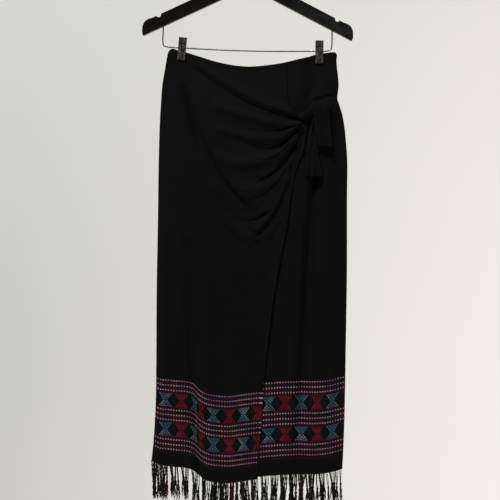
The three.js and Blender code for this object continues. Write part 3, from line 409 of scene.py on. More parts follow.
# %% Points of the three panels
EDGE_CURL = 4.5          # how far the free edge stands off the panel below it
CURL_WIDE = 24
CURL_STARTS, CURL_ENDS = (0.24, 0.36), (0.55, 0.85)  # from below the knot to above the border
SINK_BROAD, SINK_ALL = 0.4, 0.8  # the levelled folds are let down again by this much
WAIST_CLOSER = 0.6       # the share of the step that the waistband takes out
FACE = GAP / 2 + SOLID_CLOTH  # from the middle plane to the outer face of a wall


def outwards(folds):
    """Folds that would sink into the panel below are levelled off, the others stay."""
    return (folds + np.hypot(folds, 2)) / 2


def over_point(x, v):
    z = height_of(OVER_HEM, x, v)
    lying = 1 - fade_out(x, *COVER)
    calm = seam_calm(x, v) * (1 - pinched(x, v))
    broad, sharp = broad_folds(OVER_FOLDS, x, z) * calm, creases(OVER_CREASES, x, z) * calm
    lying_folds = outwards(outwards(broad) - SINK_BROAD + sharp) - SINK_ALL
    step = LAYER_STEP * (1 - WAIST_CLOSER * fade_out(v * CLOTH_DROP, 20, 105))
    free_edge = row_ends(v)[2]
    curl = EDGE_CURL * fade_out(free_edge - x, 0, CURL_WIDE)
    curl = curl * fade_out(v, *CURL_ENDS) * (1 - fade_out(v, *CURL_STARTS))
    depth = plain_depth(x, v, 1) + step * lying + mix(broad + sharp, lying_folds, lying) + curl
    return x, -(FACE + depth + edge_hem(x, z, free_edge)), z


def under_point(x, v):
    z = height_of(UNDER_HEM, x, v)
    free_edge = row_ends(v)[2]
    calm = seam_calm(x, v) * (1 - pinched(x, v)) * (1 - fade_out(x, free_edge - 30, free_edge + 6))
    depth = plain_depth(x, v, 1) + (broad_folds(UNDER_FOLDS, x, z) + creases(UNDER_CREASES, x, z)) * calm
    return x, -(FACE + depth + edge_hem(x, z)), z


def back_point(x, v):
    z = height_of(BACK_HEM, x, v)
    calm = seam_calm(x, v) * (1 - pinched(x, v))
    depth = plain_depth(x, v, 2) + (broad_folds(BACK_FOLDS, x, z) + creases(BACK_CREASES, x, z)) * calm
    return x, FACE + depth + edge_hem(x, z), z


# %% A cloth mesh from a grid
CLOTH_SHELL = 0.9        # thickness shown at the edges of the fine cloth


def new_piece(name, points, faces):
    """A smooth mesh piece; points are in millimetres."""
    mesh = bpy.data.meshes.new(name)
    mesh.from_pydata((np.asarray(points, dtype=float).reshape(-1, 3) * MM).tolist(), [], faces)
    mesh.shade_smooth()
    piece = bpy.data.objects.new(name, mesh)
    bpy.context.scene.collection.objects.link(piece)
    return piece


def grid_quads(rows, columns, turned=False, closed=False):
    """Faces of a grid. closed joins the last column to the first."""
    index = np.arange(rows * columns).reshape(rows, columns)
    if closed:
        index = np.concatenate([index, index[:, :1]], axis=1)
    corners = [index[:-1, :-1], index[1:, :-1], index[1:, 1:], index[:-1, 1:]]
    quads = np.stack(corners, axis=-1).reshape(-1, 4)
    return (quads[:, ::-1] if turned else quads).tolist()


def add_places(piece, places):
    """Values that travel with the mesh, such as the place in the cloth."""
    for key, values in places.items():
        layer = piece.data.attributes.new(key, "FLOAT_VECTOR", "POINT")
        layer.data.foreach_set("vector", np.ascontiguousarray(values, dtype=np.float32).reshape(-1))
    return piece


def edge_thickness(piece, thickness):
    """Turns the edges in, so that a single sheet shows its thickness where it ends."""
    solid = piece.modifiers.new("edge", "SOLIDIFY")
    solid.thickness = thickness * MM
    solid.offset = -1
    solid.use_rim_only = True
    # The rim takes the piece's second material, which on the panels is a near-black painted shade.
    solid.material_offset_rim = 1
    crisp = piece.modifiers.new("crisp edge", "EDGE_SPLIT")
    crisp.split_angle = math.radians(60)
    return piece


def rows_in_bands(bands):
    """Row places from 0 to 1; each band is (where it ends, how many rows it has)."""
    rows, start = [0.0], 0.0
    for end, count in bands:
        rows += [mix(start, end, (i + 1) / count) for i in range(count)]
        start = end
    return np.array(rows)


# %% [markdown]
# ## The chart of the border
# The border is a supplementary weft: coloured yarn floats over a black ground in small square
# stitches. It is a common kind of folk weaving: dotted lines in threes, and rows of hourglasses,
# one cross-hatched in pale blue, the next solid red, with dark lozenges between. The weaver
# counts it, so here too it is counted: column and row numbers go into the mesh, and the
# material decides the colour of each stitch from them.

# %% Count stitches and picks over each panel
REPEAT_STITCHES = 24     # one blue and one red hourglass
STITCH = 2.87            # millimetres across one stitch
Chart = namedtuple("Chart", "margin pick places")  # hem to the first dotted line, height of a pick
# Each place is (across, repeats counted there). The long fold takes in half a repeat.
OVER_CHART = Chart(34.6, 2.065, [
    (-207.6, -0.45), (-178.5, 0.0), (-144.1, 0.5), (-115.2, 1.0), (-103.8, 1.5), (-76.4, 2.0),
    (-43.0, 2.5), (-14.1, 3.0), (17.5, 3.5),
])
UNDER_CHART = Chart(39.9, 2.18, [
    (-80.0, -1.76), (38.8, 0.0), (107.6, 1.0), (173.0, 2.0), (205.0, 2.47),
])
BACK_CHART = Chart(38.0, 2.15, [(-207.6, -0.3), (0.0, 2.8), (207.0, 5.9)])


def cloth_places(points, hem, chart):
    """Place in the cloth (mm across, mm above the hem) and place in the chart."""
    x, z = points[..., 0], points[..., 2]
    above = z - line_through(hem, x)
    repeats = line_through(chart.places, x)
    nothing = np.zeros_like(x)
    cloth = np.stack([repeats * REPEAT_STITCHES * STITCH, above, nothing], axis=-1)
    count = np.stack([repeats * REPEAT_STITCHES, (above - chart.margin) / chart.pick, nothing], axis=-1)
    return {"cloth": cloth, "chart": count}


# %% Make the three panels
COARSE = 1


def panel_points(point, columns, bands, edges):
    v = rows_in_bands([(end, max(count // COARSE, 1)) for end, count in bands])[:, None]
    left, right = edges(v)
    x = mix(left, right, np.linspace(0, 1, columns // COARSE + 1)[None, :]) + 0 * v
    return np.stack(point(x, v + 0 * x), axis=-1)


def sheet_area(points):
    """Area of a grid's surface in square metres."""
    down, along = points[1:, :-1] - points[:-1, :-1], points[:-1, 1:] - points[:-1, :-1]
    return float(np.linalg.norm(np.cross(down, along), axis=-1).sum()) * MM * MM


def make_panel(name, points, hem, chart, turned=False):
    piece = new_piece(name, points, grid_quads(*points.shape[:2], turned))
    add_places(piece, cloth_places(points, hem, chart))
    edge_thickness(piece, CLOTH_SHELL)
    print(name, points.shape[:2], "surface", round(sheet_area(points), 4), "square metres")
    return piece


def over_edges(v):
    left, _, free = row_ends(v)
    return left, free


def under_edges(v):
    return HIDDEN_EDGE + 0 * v, row_ends(v)[1]


def back_edges(v):
    left, right, _ = row_ends(v)
    return left, right


over_grid = panel_points(over_point, 214, [(0.05, 30), (0.46, 290), (1.0, 116)], over_edges)
under_grid = panel_points(under_point, 150, [(0.18, 90), (1.0, 170)], under_edges)
back_grid = panel_points(back_point, 150, [(0.15, 60), (1.0, 150)], back_edges)
over = make_panel("cloth_over_front", over_grid, OVER_HEM, OVER_CHART)
under = make_panel("cloth_under_front", under_grid, UNDER_HEM, UNDER_CHART)
back = make_panel("cloth_back", back_grid, BACK_HEM, BACK_CHART, turned=True)

# %% [markdown]
# ## Arithmetic for materials
# A woven chart is a sum: remainders, distances and comparisons. Blender's Math node does each of
# those, and this small class lets them be written as ordinary sums. Nothing in it knows
# about the camera, so the pattern stays in the cloth from every side.

# %% A number that flows through a material
class Flow:
    """The output of a node, with sums on it that make further Math nodes."""

    def __init__(self, tree, socket):
        self.tree, self.socket = tree, socket

    def math(self, operation, *others):
        node = self.tree.nodes.new("ShaderNodeMath")
        node.operation = operation
        for slot, value in zip(node.inputs, (self, *others)):
            if isinstance(value, Flow):
                self.tree.links.new(value.socket, slot)
            else:
                slot.default_value = value
        return Flow(self.tree, node.outputs[0])

    def __add__(self, other):
        return self.math("ADD", other)

    def __sub__(self, other):
        return self.math("SUBTRACT", other)

    def __mul__(self, other):
        return self.math("MULTIPLY", other)

    def abs(self):
        return self.math("ABSOLUTE")

    def floor(self):
        return self.math("FLOOR")

    def wrap(self, low, high):
        return self.math("WRAP", high, low)

    def below(self, limit):
        return self.math("LESS_THAN", limit)

    def above(self, limit):
        return self.math("GREATER_THAN", limit)

    def sine(self):
        return self.math("SINE")

    def either(self, other):
        return self.math("MAXIMUM", other)

    def both(self, other):
        return self.math("MULTIPLY", other)

    def between(self, low, high):
        return self.above(low).both(self.below(high))

    def steps(self, low, high):
        """0 below low, 1 above high, even in between."""
        node = self.tree.nodes.new("ShaderNodeMapRange")
        node.inputs["From Min"].default_value = low
        node.inputs["From Max"].default_value = high
        self.tree.links.new(self.socket, node.inputs["Value"])
        return Flow(self.tree, node.outputs["Result"])


# %% Start a material and read places in it
def new_material(name, roughness=0.8, specular=0.3, metallic=0.0):
    """A material, its nodes and its shader."""
    material = bpy.data.materials.new(name)
    material.use_nodes = True
    tree = material.node_tree
    shader = tree.nodes["Principled BSDF"]
    shader.inputs["Roughness"].default_value = roughness
    shader.inputs["Specular IOR Level"].default_value = specular
    shader.inputs["Metallic"].default_value = metallic
    return material, tree, shader


def place_socket(tree, name):
    """A place that travels with the mesh, as add_places wrote it."""
    node = tree.nodes.new("ShaderNodeAttribute")
    node.attribute_name = name
    return node.outputs["Vector"]


def read_place(tree, name=None):
    """The three numbers of a place that travels with the mesh, or of the place in the object."""
    split = tree.nodes.new("ShaderNodeSeparateXYZ")
    place = place_socket(tree, name) if name else tree.nodes.new("ShaderNodeTexCoord").outputs["Object"]
    tree.links.new(place, split.inputs[0])
    return [Flow(tree, output) for output in split.outputs]


# %% Noise, blended colours and relief
def noise(tree, scale, detail=2.0, stretch=(1, 1, 1), place=None):
    """Soft random cloudiness from 0 to 1, in the object's own space or at a given place."""
    node = tree.nodes.new("ShaderNodeTexNoise")
    node.inputs["Scale"].default_value = scale
    node.inputs["Detail"].default_value = detail
    move = tree.nodes.new("ShaderNodeMapping")
    move.inputs["Scale"].default_value = stretch
    if place is None:
        place = tree.nodes.new("ShaderNodeTexCoord").outputs["Object"]
    tree.links.new(place, move.inputs["Vector"])
    tree.links.new(move.outputs[0], node.inputs["Vector"])
    return Flow(tree, node.outputs["Fac"])


def blend_colours(tree, factor, first, second):
    """first where factor is 0, second where it is 1. A colour is a tuple or a socket."""
    node = tree.nodes.new("ShaderNodeMix")
    node.data_type = "RGBA"
    tree.links.new(factor.socket, node.inputs["Factor"])
    for slot, colour in (("A", first), ("B", second)):
        where = [s for s in node.inputs if s.name == slot and s.type == "RGBA"][0]
        if isinstance(colour, tuple):
            where.default_value = (*colour, 1)
        else:
            tree.links.new(colour, where)
    return [s for s in node.outputs if s.type == "RGBA"][0]


def two_tones(tree, shader, factor, first, second):
    """Colours a material with a blend of two colours."""
    tree.links.new(blend_colours(tree, factor, first, second), shader.inputs["Base Color"])


def add_relief(tree, shader, height, distance, strength=1.0):
    """Makes the light see bumps of up to a distance in metres."""
    node = tree.nodes.new("ShaderNodeBump")
    node.inputs["Distance"].default_value = distance
    node.inputs["Strength"].default_value = strength
    tree.links.new(height.socket, node.inputs["Height"])
    tree.links.new(node.outputs[0], shader.inputs["Normal"])


# %% [markdown]
# ## Black cloth and its woven border
# The cloth is a soft, matt plain weave. Its black is not one tone: the yarn is a little uneven,
# and nap catches light at the folds' edges, which is what sheen does in the shader. The border is
# worked out from the chart: dots in threes, the hourglasses and the lozenges between. The yarns
# are deep colours, since a supplementary weft lets the black ground through everywhere.

# %% Colours of the yarns (linear)
BLACK_YARN = (0.0024, 0.0024, 0.0026)
BLACK_WORN = (0.0038, 0.0037, 0.0038)
MAROON = (0.030, 0.0042, 0.0085)
PLUM = (0.020, 0.0050, 0.0150)
NAVY = (0.0095, 0.0055, 0.0150)
LINE_GROUND = (0.007, 0.0025, 0.0038)
DOT_PINK = (0.305, 0.165, 0.220)
DOT_WHITE = (0.310, 0.262, 0.292)
DOT_ROSE = (0.285, 0.098, 0.168)
BLUE_YARN = (0.120, 0.155, 0.190)
BLUE_GREEN = (0.036, 0.098, 0.116)
BLUE_SHADE = (0.0014, 0.0048, 0.0070)
RED_YARN = (0.074, 0.0058, 0.0095)
RED_ORANGE = (0.098, 0.0085, 0.0088)
RED_SHADE = (0.021, 0.0016, 0.0026)
LOZENGE_GREEN = (0.0016, 0.0058, 0.0038)
LOZENGE_NAVY = (0.0022, 0.0036, 0.0065)
HEM_LINE = (0.018, 0.0030, 0.0045)

# %% The border's chart as sums
CHART_PERIOD = 30        # picks from one band of dotted lines to the next
MOTIF_MIDDLE = 20.0      # picks up to the middle of the first row of motifs
MOTIF_HALF = 6.4         # picks from the middle of a motif to its top
TWO_MOTIF_ROWS = (11.5, 58.5)
LAST_LINE = 70.5
BAND_ENDS = (-3.4, 13.4)  # a band reaches past its first and third line
LINE_HALF = 0.62
LATTICE_STITCHES = 2.4
LATTICE_LINE = 0.60
LATTICE_SLANT = 0.72


Place = namedtuple("Place", "column row stitch pick dye dye_two in_border")


def chart_place(tree):
    """Where a stitch is in the chart, and the two slow changes in the dye of its yarn."""
    column, row, _ = read_place(tree, "chart")
    stitch, pick = column.floor() + 0.5, (row + 0.5).floor()
    chart = place_socket(tree, "chart")
    dye = noise(tree, 0.11, 1.0, (1, 0.35, 1), chart)
    dye_two = noise(tree, 0.07, 1.0, (1, 0.9, 1), chart)
    return Place(column, row, stitch, pick, dye, dye_two, pick.between(-0.5, LAST_LINE))


# %% Bands of dotted lines
def dotted_bands(tree, place, ground):
    """Space-dyed stripes, and over them pale dots in three lines, one stitch on and one off."""
    in_three = place.pick.wrap(-10, CHART_PERIOD - 10)   # 0 to 10 holds the three lines
    band = in_three.between(*BAND_ENDS).both(place.in_border)
    stripe = blend_colours(tree, place.dye.above(0.52), MAROON, PLUM)
    navy = in_three.between(5.5, 9.5).both(place.dye_two.above(0.50))
    stripe = blend_colours(tree, navy, stripe, NAVY)
    between_warps = place.column.wrap(0, 2).above(1.1)
    stripe = blend_colours(tree, between_warps * 0.55 + 0.15, stripe, BLACK_YARN)
    colour = blend_colours(tree, band, ground, stripe)
    in_line = place.row.wrap(-10, CHART_PERIOD - 10)     # the same, not yet counted in picks
    on_line = in_line.abs().below(LINE_HALF)
    for line in (5.0, 10.0):
        on_line = on_line.either((in_line - line).abs().below(LINE_HALF))
    on_line = on_line.both(place.in_border)
    dots = on_line.both(place.column.wrap(0, 2).below(0.8))
    pale = blend_colours(tree, place.dye.above(0.50), DOT_WHITE, DOT_PINK)
    pale = blend_colours(tree, place.dye_two.above(0.60), pale, DOT_ROSE)
    colour = blend_colours(tree, on_line, colour, LINE_GROUND)
    return blend_colours(tree, dots, colour, pale), dots, band


# %% Hourglasses and the lozenges between them
def motifs(tree, place, ground):
    """Hourglasses, wide at top and foot and drawn in at the middle, over dark lozenges."""
    up = (place.pick - MOTIF_MIDDLE).wrap(-CHART_PERIOD / 2, CHART_PERIOD / 2)
    in_motif = up.abs().below(MOTIF_HALF).both(place.pick.between(*TWO_MOTIF_ROWS))
    half = REPEAT_STITCHES / 2
    to_blue = place.stitch.wrap(-half, half).abs()
    to_red = (place.stitch - half).wrap(-half, half).abs()
    blue = to_blue.below(up.abs() * 0.68 + 0.9).both(in_motif)
    red = to_red.below(up.abs() * 0.60 + 1.4).both(in_motif)
    # The yarn inside them lies in a lattice of slanting lines, dense in the red ones.
    slant, column = up * LATTICE_SLANT, place.column
    rising = (column + slant + LATTICE_LINE / 2).wrap(0, LATTICE_STITCHES).below(LATTICE_LINE)
    falling = (column - slant + LATTICE_LINE / 2).wrap(0, LATTICE_STITCHES).below(LATTICE_LINE)
    lattice = rising.either(falling)
    blue_bright = blend_colours(tree, place.dye_two.above(0.48), BLUE_YARN, BLUE_GREEN)
    blue_colour = blend_colours(tree, lattice, BLUE_SHADE, blue_bright)
    red_bright = blend_colours(tree, place.dye.above(0.50), RED_YARN, RED_ORANGE)
    red_colour = blend_colours(tree, lattice * 0.4 + 0.45, RED_SHADE, red_bright)
    # A lozenge fills the room between two hourglasses.
    lozenge = blend_colours(tree, to_blue.below(half / 2 + 0.2), LOZENGE_GREEN, LOZENGE_NAVY)
    heart = ((to_blue - half / 2).abs() * 1.33 + up.abs()).below(5.5)
    lozenge = blend_colours(tree, heart, BLACK_YARN, lozenge)
    colour = blend_colours(tree, in_motif, ground, lozenge)
    colour = blend_colours(tree, blue, colour, blue_colour)
    colour = blend_colours(tree, red, colour, red_colour)
    return colour, blue.both(lattice).either(red)


# %% The whole border
def border_colours(tree, ground):
    """Colour of each stitch, and how far the yarn stands out of the ground."""
    place = chart_place(tree)
    colour, dots, band = dotted_bands(tree, place, ground)
    colour, floats = motifs(tree, place, colour)
    colour = blend_colours(tree, (place.pick + 3.0).abs().below(0.6), colour, HEM_LINE)
    return colour, dots.either(floats) * 0.6 + band * 0.25


# %% Weave of the ground and the finished cloth material
THREADS_PER_MM = 1.25


def woven_cloth(name, border=True):
    """Plain weave in uneven black yarn, with the charted border or without it."""
    material, tree, shader = new_material(name, roughness=0.9, specular=0.05)
    across, up, _ = read_place(tree, "cloth")
    turn = 2 * math.pi * THREADS_PER_MM
    weave = (up * turn).sine() * (across * turn).sine() * 0.5 + 0.5
    slub = noise(tree, 0.045, 3.0, (6.0, 0.3, 1), place_socket(tree, "cloth"))
    worn = noise(tree, 9.0, 3.0)
    black = blend_colours(tree, worn * 0.6 + slub * 0.4, BLACK_YARN, BLACK_WORN)
    raised = slub * 0.25 + weave * 0.35
    if border:
        black, stands_out = border_colours(tree, black)
        raised = raised + stands_out
    tree.links.new(black, shader.inputs["Base Color"])
    add_relief(tree, shader, raised, 0.0004, 0.8)
    shader.inputs["Sheen Weight"].default_value = 0.007
    shader.inputs["Sheen Roughness"].default_value = 0.45
    return material


cloth_with_border = woven_cloth("woven black cloth with its border")
plain_cloth = woven_cloth("plain black cloth", border=False)


def finish_piece(piece, material, slot, *nodes):
    """Gives a piece its material and its body, and hides the CAD nodes it stands for. slot is not used."""
    piece.data.materials.append(material)
    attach(piece, "root")
    if nodes:
        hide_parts(*nodes)
    return piece


finish_piece(over, cloth_with_border, "cloth_over", "over_front")
finish_piece(under, cloth_with_border, "cloth_under", "under_front")
finish_piece(back, cloth_with_border, "cloth_back", "back")
# The rims that edge_thickness turns in take this near-black material: a painted shade, so that each cut
# edge of a panel reads as a dark shadow line and not as a lit rim.
painted_edge_shade, _, painted_edge_shade_shader = new_material("near-black painted shade on the cut edges", roughness=1.0, specular=0.0)
painted_edge_shade_shader.inputs["Base Color"].default_value = (0.0006, 0.0006, 0.0006, 1)
for piece in (over, under, back):
    piece.data.materials.append(painted_edge_shade)

# %% [markdown]
# ## The side seams
# Front and back meet at the sides in a plain seam with its edges inside. From the side it shows
# as a thin, slightly puckered ridge, because the seam's thread is a little shorter than the cloth.
# The panels could be joined into one mesh and creased there. A flattened tube along the edge is
# simpler, and keeps each panel a piece of its own, as it is when it is cut.

# %% Tubes along a line, for seams, wires and threads
def directions(path):
    """The way a path runs at each of its points."""
    run = np.gradient(path, axis=0)
    return run / np.linalg.norm(run, axis=1, keepdims=True)


def frames_along(path, first=(0.0, 1.0, 0.0)):
    """Two directions square to a path at each point, without twist from one to the next."""
    run = directions(path)
    side = np.zeros_like(path)
    side[0] = np.array(first) - np.dot(first, run[0]) * run[0]
    side[0] /= np.linalg.norm(side[0])
    for i in range(1, len(path)):
        side[i] = side[i - 1] - np.dot(side[i - 1], run[i]) * run[i]
        side[i] /= np.linalg.norm(side[i])
    return side, np.cross(run, side)


def end_caps(rows, sides):
    """The faces that close both ends of a tube's grid."""
    last = (rows - 1) * sides
    return [list(range(sides)), [last + i for i in reversed(range(sides))]]


def tube_parts(path, radius, sides=8, first=(0.0, 1.0, 0.0), lobes=None):
    """Points and faces of a closed tube. radius is one number, or one for each point of the path."""
    path = np.asarray(path, dtype=float)
    side, other = frames_along(path, first)
    angle = 2 * np.pi * np.arange(sides) / sides
    radius = np.broadcast_to(np.asarray(radius, dtype=float), (len(path),))[:, None]
    if lobes is not None:
        radius = radius * lobes(np.linspace(0, 1, len(path))[:, None], angle[None, :])
    ring = radius[..., None] * (
        np.cos(angle)[None, :, None] * side[:, None, :] + np.sin(angle)[None, :, None] * other[:, None, :]
    )
    points = (path[:, None, :] + ring).reshape(-1, 3)
    return points, grid_quads(len(path), sides, closed=True) + end_caps(len(path), sides)


def joined_parts(parts):
    """Several (points, faces) as one."""
    points, faces, start = [], [], 0
    for some_points, some_faces in parts:
        points.append(np.asarray(some_points, dtype=float).reshape(-1, 3))
        faces += [[start + i for i in face] for face in some_faces]
        start += len(points[-1])
    return np.concatenate(points), faces


def cloth_place_of(points):
    """A place in the cloth for a small piece, from where it hangs."""
    places = np.array(points, dtype=float).reshape(-1, 3)
    return {"cloth": np.stack([places[:, 0] + places[:, 1], places[:, 2], 0 * places[:, 0]], axis=-1)}


# %% Make the side seams
SEAM_SIDES = 12
SEAM_FLAT = 0.55         # its width, as a share of its depth


def side_seam(name, column, inward, slot):
    v = np.linspace(0.002, 0.998, 260)
    x = row_ends(v)[column]
    z = height_of(OVER_HEM if column == 0 else UNDER_HEM, x, v)
    pucker = 1 + 0.07 * np.sin(z / 4.1) * np.sin(z / 17.0 + 1)
    path = np.stack([x + inward * 0.9, 0 * x, z], axis=-1)
    points, faces = tube_parts(path, FACE * pucker, SEAM_SIDES)
    middle = np.repeat(path[:, 0], SEAM_SIDES)
    points[:, 0] = middle + (points[:, 0] - middle) * SEAM_FLAT
    piece = new_piece(name, points, faces)
    add_places(piece, cloth_place_of(points))
    return finish_piece(piece, plain_cloth, slot)


left_seam = side_seam("side_seam_left", 0, 1, "cloth_over")
right_seam = side_seam("side_seam_right", 1, -1, "cloth_under")

# %% [markdown]
# ## Stitching
# The waist and the free edge are turned over and sewn with black thread, about three millimetres
# to a stitch. A pattern of bumps would do from afar, but it would be flat from the side. So each
# stitch is a short, plump bead of thread that lies in the groove it pulls.

# %% Rows of stitches on a panel
thread, thread_tree, thread_shader = new_material("black sewing thread", roughness=0.8, specular=0.05)
twist = noise(thread_tree, 900.0, 1.0)
two_tones(thread_tree, thread_shader, twist, (0.0022, 0.0022, 0.0024), (0.0042, 0.0040, 0.0042))


def stitches(path, outward, length=3.0, gap=0.9, radius=0.34):
    """Beads of thread along a path of points in millimetres; outward lifts them off the cloth."""
    path = np.asarray(path, dtype=float)
    along = np.concatenate([[0], np.cumsum(np.linalg.norm(np.diff(path, axis=0), axis=1))])
    parts, start = [], gap
    while start + length < along[-1]:
        places = start + length * np.array([0.0, 0.18, 0.5, 0.82, 1.0])
        bead = np.stack([np.interp(places, along, path[:, k]) for k in range(3)], axis=-1)
        sink = np.array([-0.25, 0.12, 0.22, 0.12, -0.25])[:, None]
        bead = bead + sink * np.asarray(outward)
        parts.append(tube_parts(bead, radius * np.array([0.55, 0.95, 1.0, 0.95, 0.55]), 6, (0.1, 1, 0.2)))
        start += length + gap
    return parts


def along_panel(point, x, v):
    """Points of a panel for one row of places."""
    return np.stack(point(x[None, :], v[None, :]), axis=-1)[0]


def across_panel(point, x_from, x_to, below_waist, steps=260):
    x = np.linspace(x_from, x_to, steps)
    return along_panel(point, x, below_waist / WAIST_TO_HEM + 0 * x)


front_line = across_panel(over_point, -170, 77, WAIST_STITCH)
under_line = across_panel(under_point, 80, 181, WAIST_STITCH)
back_line = across_panel(back_point, -170, 181, WAIST_STITCH)
ABOVE_TIE, BELOW_TIE = np.linspace(0.012, 0.125, 60), np.linspace(0.28, 0.992, 300)
upper_line, lower_line = (
    along_panel(over_point, row_ends(v)[2] - FRONT_STITCH, v) for v in (ABOVE_TIE, BELOW_TIE)
)
towards_front, towards_back = (0, -1, 0), (0, 1, 0)
stitching_parts = stitches(front_line, towards_front) + stitches(under_line, towards_front)
stitching_parts += stitches(back_line, towards_back)
stitching_parts += stitches(upper_line, towards_front) + stitches(lower_line, towards_front)
stitching = new_piece("stitching", *joined_parts(stitching_parts))
finish_piece(stitching, thread, "cloth_over")
print("stitches:", len(stitching_parts))

# %% [markdown]
# ## The side tie
# Two strips of the same cloth are tied once at the hip. The left one is the gathered corner of
# the wrap panel and looks like a short rope. The right one comes flat from the side seam. One end
# rolls over the knot and hangs in front, and the longer one hangs behind it. The strips are soft
# and folded double, so they show rounded edges, long pleats and puckers where the knot squeezes
# them. A sculpted knot would be one lump. Here each strip is a grid over a few stations along it,
# so that its pleats run lengthwise, the way gathered cloth does.

# %% Gathered runs and the knot
GATHER_SIDES = 72


def smooth_rows(table, count):
    """A table of stations read smoothly at evenly spaced places along it."""
    rows = np.array(table, dtype=float)
    wanted = np.linspace(0, len(rows) - 1, count)
    numbered = [(float(i), *row) for i, row in enumerate(rows)]
    return np.stack([line_through(numbered, wanted, column=k + 1) for k in range(rows.shape[1])], axis=-1)


def gathered(name, table, pleats, twist, depth, wraps=0.0, count=60):
    """A run of gathered cloth across X: rows are across, depth, height, half tall, half deep."""
    rows = smooth_rows(table, count)
    t = np.linspace(0, 1, count)[:, None]
    angle = 2 * np.pi * np.arange(GATHER_SIDES)[None, :] / GATHER_SIDES
    turn = angle + twist * t + 0.35 * np.sin(3 * angle + 1.3)
    lobe = 1 - depth * (1 - np.abs(np.sin(pleats * turn / 2))) ** 1.6
    wrap = 1 + wraps * np.sin(2 * np.pi * 3.2 * t + 1.2 * np.sin(angle))
    y = rows[:, 1:2] + rows[:, 4:5] * np.cos(angle) * lobe * wrap
    z = rows[:, 2:3] + rows[:, 3:4] * np.sin(angle) * lobe * wrap
    x = rows[:, 0:1] + 0 * angle
    points = np.stack([x, y, z], axis=-1).reshape(-1, 3)
    faces = grid_quads(count, GATHER_SIDES, turned=True, closed=True) + end_caps(count, GATHER_SIDES)
    return add_places(new_piece(name, points, faces), cloth_place_of(points))


def doubled(piece, thickness):
    """Gives a folded strip its thickness, inwards from the face that shows."""
    solid = piece.modifiers.new("double", "SOLIDIFY")
    solid.thickness, solid.offset = thickness * MM, -1
    return piece


LEFT_RUN = [  # across, depth, height, half tall, half deep
    (100.0, -29.0, -374.5, 5.6, 3.2), (106.5, -30.4, -374.0, 7.0, 3.8), (113.0, -30.8, -371.0, 8.4, 4.2),
    (119.0, -30.6, -367.5, 10.0, 4.6), (125.0, -30.2, -364.5, 11.6, 5.0), (132.0, -29.6, -362.0, 12.8, 5.2),
]
KNOT = [
    (125.6, -26.0, -357.5, 7.4, 4.6), (129.0, -26.4, -357.0, 10.0, 5.6), (134.0, -26.8, -356.5, 11.6, 6.4),
    (142.0, -27.0, -356.0, 12.4, 6.8), (152.0, -26.6, -355.5, 12.2, 6.4), (160.0, -26.0, -355.5, 10.8, 5.8),
    (166.0, -24.6, -356.0, 8.2, 4.2), (170.0, -23.0, -356.5, 5.0, 2.6),
]
left_run = gathered("tie_rope", LEFT_RUN, 7, 1.5, 0.28)
knot = gathered("tie_knot_fold", KNOT, 5, 0.8, 0.22, wraps=0.05)
finish_piece(left_run, plain_cloth, "cloth_tie", "tie_left_run")
finish_piece(knot, plain_cloth, "cloth_tie", "tie_knot")

# %% The right run, flat from the side seam and puckered at the knot
RIGHT_RUN = [  # across, top, bottom
    (130, -346, -365), (138, -342, -366), (146, -338, -366), (160, -333.5, -366), (174, -331.5, -366),
    (184, -331.5, -367),
]
RUN_LIFT = 2.8           # the strip's outer face above the panel it lies on
RUN_THICK = 2.0


def right_run():
    """The strip lies on the panel below it; its ridges grow towards the knot."""
    x = np.linspace(RIGHT_RUN[0][0], RIGHT_RUN[-1][0], 60)[None, :]
    t = np.linspace(0, 1, 44)[:, None]
    top, bottom = line_through(RIGHT_RUN, x, 1), line_through(RIGHT_RUN, x, 2)
    z = mix(top, bottom, t)
    v = (z - line_through(WAIST, x)) / (line_through(UNDER_HEM, x) - line_through(WAIST, x))
    _, y, _ = under_point(x + 0 * v, v)
    gather = fade_out(x, 128, 186)
    ridges = 2.4 * np.abs(np.sin(np.pi * (3.1 * t + 0.35 * np.sin(x / 13)))) ** 1.4
    edge = 1.6 * (np.exp(-(((t - 0.02) / 0.05) ** 2)) + np.exp(-(((t - 0.98) / 0.05) ** 2)))
    y = y - RUN_LIFT - ridges * (0.35 + 0.65 * gather) - 3.0 * gather**3 + edge * 0.8
    points = np.stack([x + 0 * t, y, z], axis=-1)
    piece = new_piece("tie_from_seam", points, grid_quads(*points.shape[:2]))
    add_places(piece, cloth_place_of(points))
    return doubled(piece, RUN_THICK)


run_right = finish_piece(right_run(), plain_cloth, "cloth_tie", "tie_right_run")

# %% The two free ends
TAIL_THICK, KNOT_MIDDLE = 1.8, 146
TAIL_FRONT = [  # across, depth, height, wide, crown
    (146.0, -23.0, -349.0, 30, 0.5), (146.2, -27.0, -344.6, 32, 0.6), (146.4, -31.6, -343.4, 33, 0.8),
    (146.8, -35.6, -347.4, 33.4, 1.2), (147.2, -37.2, -356.0, 34, 1.5), (148.4, -36.9, -370.0, 34, 1.8),
    (150.2, -35.8, -388.0, 33.5, 2.0), (152.4, -34.2, -405.0, 32.5, 2.4), (154.8, -32.8, -422.0, 31, 2.6),
    (156.6, -31.6, -437.0, 29.6, 2.6),
]
TAIL_BACK = [
    (139.0, -28.0, -366.0, 15, 1.0), (137.4, -28.4, -382.0, 16.5, 1.6), (135.8, -28.0, -398.0, 18, 2.2),
    (133.6, -27.2, -420.0, 20, 2.6), (132.2, -26.8, -440.0, 21.5, 2.6), (131.8, -26.5, -458.0, 25, 2.4),
    (132.4, -26.4, -478.0, 32, 2.0), (133.4, -26.4, -500.0, 37, 1.6),
]
